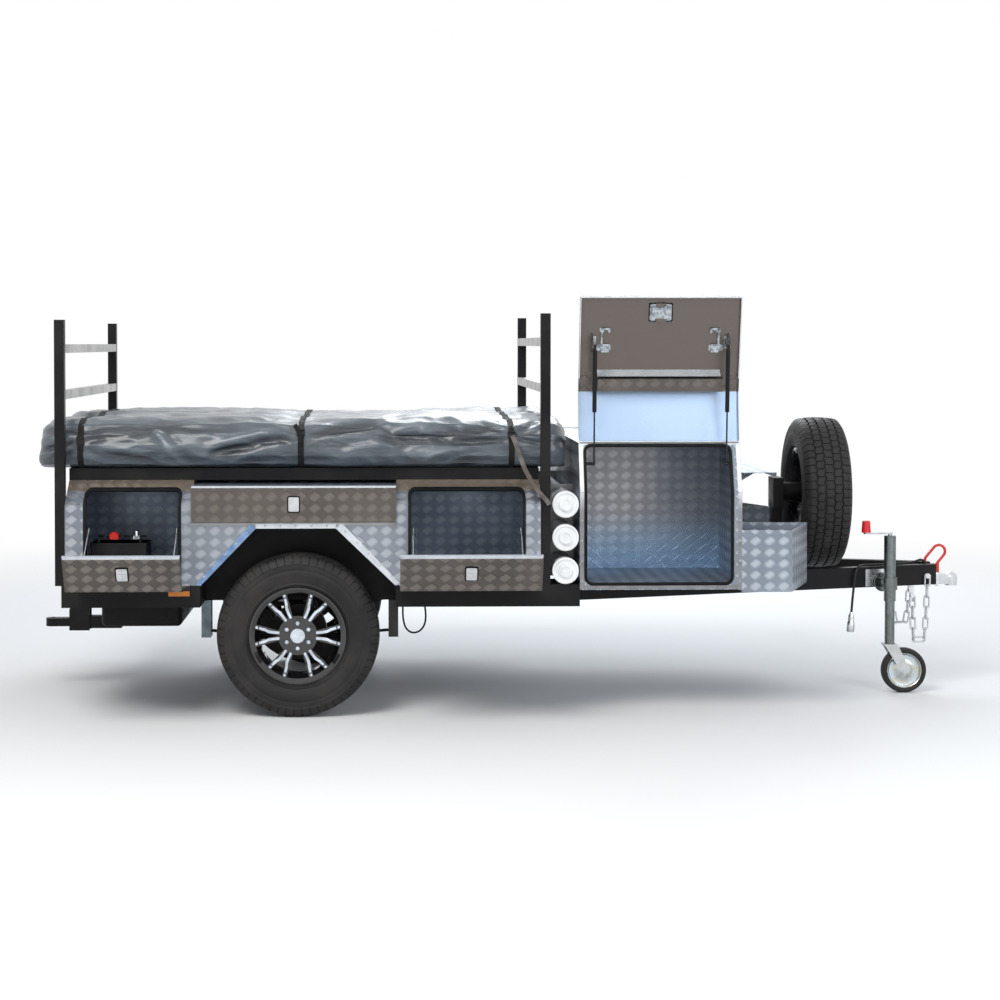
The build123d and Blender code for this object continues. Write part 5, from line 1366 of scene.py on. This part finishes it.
fastener_places = {}
for side_name, side, turn in lids:
    body = f"lid_{side_name}"
    screws = []
    form = bmesh.new()
    for x, z, *shape, low, high in lock_gasket:
        lid_slab(form, side, turn, box_outline(lid_middle + x, lock_z + z, *shape), low, high)
    finish_form(f"lid_lock_gasket_{side_name}", form, rubber_seal, body)
    form = bmesh.new()
    for x, z, *shape, low, high in lock_plates:
        lid_slab(form, side, turn, box_outline(lid_middle + x, lock_z + z, *shape), low, high)
    for east in (-1, 1):
        for reach, z, *shape, low, high in end_plates:
            lid_slab(form, side, turn, box_outline(lid_middle + east * reach, z, *shape), low, high)
        slam_x, pin_x = lid_middle + east * slam_reach, lid_middle + east * strut_reach
        screws += [
            (slam_x - 0.027, 0.832, 0.0028), (slam_x + 0.027, 0.832, 0.0028),
            (slam_x + east * 0.014, 0.752, 0.0028), (pin_x, strut_foot_z + 0.024, 0.0028),
            (pin_x, strut_foot_z - 0.024, 0.0028),
        ]
    for east in (-1, 1):
        for north in (-1, 1):
            screws.append((lid_middle + east * screw_spread[0], lock_z + north * screw_spread[1], 0.0038))
    fastener_places[body] = []
    for x, z, level in screws:
        spot = turned_place(x, lid_inner - level, z, side, lid_pin, turn)
        fastener_places[body].append((spot, spot - turned_place(x, lid_inner, z, side, lid_pin, turn)))
    finish_form(f"lid_fittings_{side_name}", form, fitting_steel, body, 35)
    form = bmesh.new()
    for strip in fold_strips:
        lid_slab(form, side, turn, box_outline(*strip), -0.0004, 0.0010, lid_flange)
    ramp_corners = [turned_place(*corner, side, lid_pin, turn) for corner in lid_ramp]
    facing = (ramp_corners[2] - ramp_corners[1]).cross(Vector((side, 0, 0))).normalized()
    slab(form, ramp_corners, facing, -0.001, 0.001)
    finish_form(f"lid_folds_{side_name}", form, polished_strip, body)

# Folded edges: the doors' top folds and the rim ledge, bare and bright where hands and lids rub the pattern
# off them, and the frame round each box opening, grey below its fold and painted pale above it, a painted sky
# reflection.
edge_foot = -0.0003
edge_rise = 0.0012
fold_reach = (0.0810, 0.0935)
door_folds = (("door_rear", -1.985, -1.481), ("door_front", -0.521, 0.097))
centre_fold = (-1.0065, 1.0610, 0.4640, 0.0045)
frame_strips = [
    # start and end along x, low and high z
    (0.2995, 0.3205, 0.588, 1.0300), (1.0250, 1.0430, 0.588, 1.0300), (0.3210, 1.0245, 0.588, 0.6065),
    (0.2995, 0.3205, 1.0320, 1.2540), (1.0250, 1.0430, 1.0320, 1.2540), (0.3210, 1.0245, 1.2455, 1.2540),
]


# painted sky reflection: the frame strip is painted pale above its fold
def above_the_fold(tree, place):
    return ramp(tree, place[2], 0.92, 1.08)


frame_strip = masked_finish(
    "box_frame_strip", above_the_fold, (0.26, 0.26, 0.27), (0.74, 0.75, 0.77), 0.75, 0.4, 0.26
)


def on_toolbox_door(x, reach, lift, side):
    """A point of a dropped door's top facet, so far along it and so far over it."""
    out = toolbox_latch[0] + toolbox_facet[0] * reach + toolbox_facet[1] * lift
    z = toolbox_latch[1] + toolbox_facet[1] * reach - toolbox_facet[0] * lift
    return turned_place(x, out, z, side, door_pin, door_turn)


for side_name, side in both_sides:
    lifted = on_toolbox_door(0, 0, 1, side) - on_toolbox_door(0, 0, 0, side)
    for door, start, end in door_folds:
        form = bmesh.new()
        corners = [on_toolbox_door(x, fold_reach[0], 0, side) for x in (start, end)]
        corners += [on_toolbox_door(x, fold_reach[1], 0, side) for x in (end, start)]
        slab(form, corners, lifted, edge_foot, edge_rise)
        finish_form(
            f"fold_{door}_{side_name}", form, polished_strip, f"{door}_{side_name}"
        )
    form = bmesh.new()
    corners = [(x, side * 0.953, z) for x, z in box_outline(*centre_fold)]
    slab(form, corners, Vector((0, side, 0)), edge_foot, edge_rise)
    finish_form(
        f"fold_door_centre_{side_name}", form, polished_strip, f"door_centre_{side_name}"
    )
    form = bmesh.new()
    for start, end, low, high in frame_strips:
        outline = [(start, low), (end, low), (end, high), (start, high)]
        laid = [skin_place(x, z, box_bend, box_rim, side) for x, z in outline]
        slab(form, [place for place, _ in laid], laid[0][1], edge_foot, edge_rise)
    finish_form(f"box_frame_{side_name}", form, frame_strip, "root")

# Pipe ends: a turned grip rim on each storage tube's cap, and its raised middle.
tube_x = 0.234
tube_heights = (0.672, 0.824, 0.976)
cap_profiles = [
    # radius, distance out
    [
        (0.0500, 0.9215), (0.0500, 0.9250), (0.0515, 0.9262), (0.0575, 0.9262), (0.0605, 0.9240),
        (0.0605, 0.9215),
    ],
    [(0.0285, 0.9295), (0.0290, 0.9318), (0.0200, 0.9325), (0.0190, 0.9295)],
]
for side_name, side in both_sides:
    form = bmesh.new()
    for z in tube_heights:
        for profile in cap_profiles:
            turned(form, (tube_x, 0, z), (0, side, 0), (1, 0, 0), profile, 48)
    finish_form(f"tube_cap_rims_{side_name}", form, white_plastic, "root", 40)

# Battery: six cell caps on its lid, a red clamp on one post, a bare clamp and its post on the other,
# and a moulded ledge round the case.
battery_low, battery_high = (Vector(corner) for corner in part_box("battery"))
top = battery_high.z
front = battery_low.y
cap_y = (battery_low.y + battery_high.y) / 2 + 0.040
post_profile = [(0.0001, -0.001), (0.0090, -0.001), (0.0090, 0.030), (0.0070, 0.034), (0.0001, 0.034)]
cell_profile = [(0.0001, -0.001), (0.0130, -0.001), (0.0130, 0.005), (0.0110, 0.007), (0.0001, 0.007)]


def block(form, x, y, z):
    """A block between two ends on each axis, its upright edges cut off."""
    half_wide, half_deep = (x[1] - x[0]) / 2, (y[1] - y[0]) / 2
    corner = min(half_wide, half_deep) * 0.25
    outline = box_outline((x[0] + x[1]) / 2, (y[0] + y[1]) / 2, half_wide, half_deep, corner)
    slab(form, [(east, north, 0) for east, north in outline], Vector((0, 0, 1)), *z)


form = bmesh.new()
block(form, (-1.870, -1.828), (front + 0.012, front + 0.052), (top - 0.002, top + 0.022))
block(form, (-1.862, -1.836), (front + 0.020, front + 0.044), (top + 0.020, top + 0.030))
finish_form("battery_clamp", form, red_coating, "root")
form = bmesh.new()
block(form, (-1.762, -1.730), (front + 0.014, front + 0.046), (top - 0.002, top + 0.014))
turned(form, (-1.746, front + 0.030, top), (0, 0, 1), (1, 0, 0), post_profile, 20)
finish_form("battery_post", form, bright_zinc, "root", 35)
form = bmesh.new()
for number in range(6):
    turned(form, (-1.925 + 0.040 * number, cap_y, top), (0, 0, 1), (1, 0, 0), cell_profile, 20)
block(form, (-1.958, -1.692), (front - 0.002, battery_high.y + 0.002), (top - 0.030, top - 0.018))
finish_form("battery_caps", form, black_plastic, "root", 35)

# Rivets and small bolts: domed heads set by Geometry Nodes on every listed place, each
# turned to the face that it holds.
rivet_seed = 3
head_sides = 12
head_rings = 2
head_taper = 0.55
head_spread = (0.94, 1.06)
rivet_tree = bpy.data.node_groups.new("domed heads", "GeometryNodeTree")
rivet_tree.is_modifier = True
for socket, way, kind in (
    ("Places", "INPUT", "Geometry"), ("Head radius", "INPUT", "Float"), ("Head height", "INPUT", "Float"),
    ("Seed", "INPUT", "Int"), ("Finish", "INPUT", "Material"), ("Heads", "OUTPUT", "Geometry"),
):
    rivet_tree.interface.new_socket(name=socket, in_out=way, socket_type="NodeSocket" + kind)
given = node_of(rivet_tree, "NodeGroupInput").outputs
points = node_of(rivet_tree, "GeometryNodeMeshToPoints")
head = node_of(rivet_tree, "GeometryNodeMeshCone", fill_type="NGON")
facing = node_of(rivet_tree, "GeometryNodeInputNamedAttribute", data_type="FLOAT_VECTOR")
facing.inputs["Name"].default_value = "facing"
turn_to = node_of(rivet_tree, "FunctionNodeAlignRotationToVector", axis="Z")
spread = node_of(rivet_tree, "FunctionNodeRandomValue", data_type="FLOAT")
set_heads = node_of(rivet_tree, "GeometryNodeInstanceOnPoints")
realise = node_of(rivet_tree, "GeometryNodeRealizeInstances")
set_finish = node_of(rivet_tree, "GeometryNodeSetMaterial")
for target, value in (
    (points.inputs["Mesh"], given["Places"]),
    (head.inputs["Vertices"], head_sides),
    (head.inputs["Side Segments"], head_rings),
    (head.inputs["Radius Bottom"], given["Head radius"]),
    (head.inputs["Radius Top"], times(rivet_tree, given["Head radius"], head_taper)),
    (head.inputs["Depth"], given["Head height"]),
    (spread.inputs[2], head_spread[0]),
    (spread.inputs[3], head_spread[1]),
    (spread.inputs["Seed"], given["Seed"]),
    (turn_to.inputs["Vector"], facing.outputs["Attribute"]),
    (set_heads.inputs["Points"], points.outputs["Points"]),
    (set_heads.inputs["Instance"], head.outputs["Mesh"]),
    (set_heads.inputs["Rotation"], turn_to.outputs["Rotation"]),
    (set_heads.inputs["Scale"], spread.outputs[1]),
    (realise.inputs["Geometry"], set_heads.outputs["Instances"]),
    (set_finish.inputs["Geometry"], realise.outputs["Geometry"]),
    (set_finish.inputs["Material"], given["Finish"]),
    (node_of(rivet_tree, "NodeGroupOutput").inputs["Heads"], set_finish.outputs["Geometry"]),
):
    feed(rivet_tree, target, value)


def set_rivets(name, places, radius, height, body):
    """Domed heads on one body: their places and facings go in, one plain mesh comes out."""
    mesh = bpy.data.meshes.new(name + "_places")
    mesh.from_pydata([tuple(place) for place, _ in places], [], [])
    values = [number for _, direction in places for number in Vector(direction).normalized()]
    mesh.attributes.new("facing", "FLOAT_VECTOR", "POINT").data.foreach_set("vector", values)
    holder = place_in_scene(name + "_places", mesh)
    modifier = holder.modifiers.new("heads", "NODES")
    modifier.node_group = rivet_tree
    keys = {item.name: item.identifier for item in rivet_tree.interface.items_tree if item.in_out == "INPUT"}
    modifier[keys["Head radius"]] = radius
    modifier[keys["Head height"]] = height
    modifier[keys["Seed"]] = rivet_seed
    modifier[keys["Finish"]] = bright_zinc
    bpy.context.view_layer.update()
    made = bpy.data.meshes.new_from_object(holder.evaluated_get(bpy.context.evaluated_depsgraph_get()))
    holder.modifiers.remove(modifier)
    bpy.data.objects.remove(holder)
    made.name = name
    piece = place_in_scene(name, made)
    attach(piece, body)


arch_rivets = 5
for side_name, side in both_sides:
    body = f"lid_{side_name}"
    set_rivets(f"lid_bolts_{side_name}", fastener_places[body], 0.0052, 0.0034, body)
    spots = []
    for width, start, end in zip(arch_widths, arch_corners, arch_corners[1:]):
        start, run = Vector(start), Vector(end) - Vector(start)
        middle = start + Vector((-run.y, run.x)).normalized() * width * 0.5
        for step in range(arch_rivets):
            x, z = middle + run * (step + 0.6) / (arch_rivets + 0.2)
            spots.append((x, z, band_thickness))
    spots += [(x, 0.625 + 0.0925 * step, edge_rise) for x in (0.3100, 1.0340) for step in range(5)]
    spots += [(x, z, 0.0) for x in (-2.036, -1.500, -0.532, 0.108) for z in (0.640, 0.760, 0.880)]
    places = [(Vector((x, side * (skin_half + out), z)), (0, side, 0)) for x, z, out in spots]
    set_rivets(f"skin_rivets_{side_name}", places, 0.0048, 0.0024, "root")
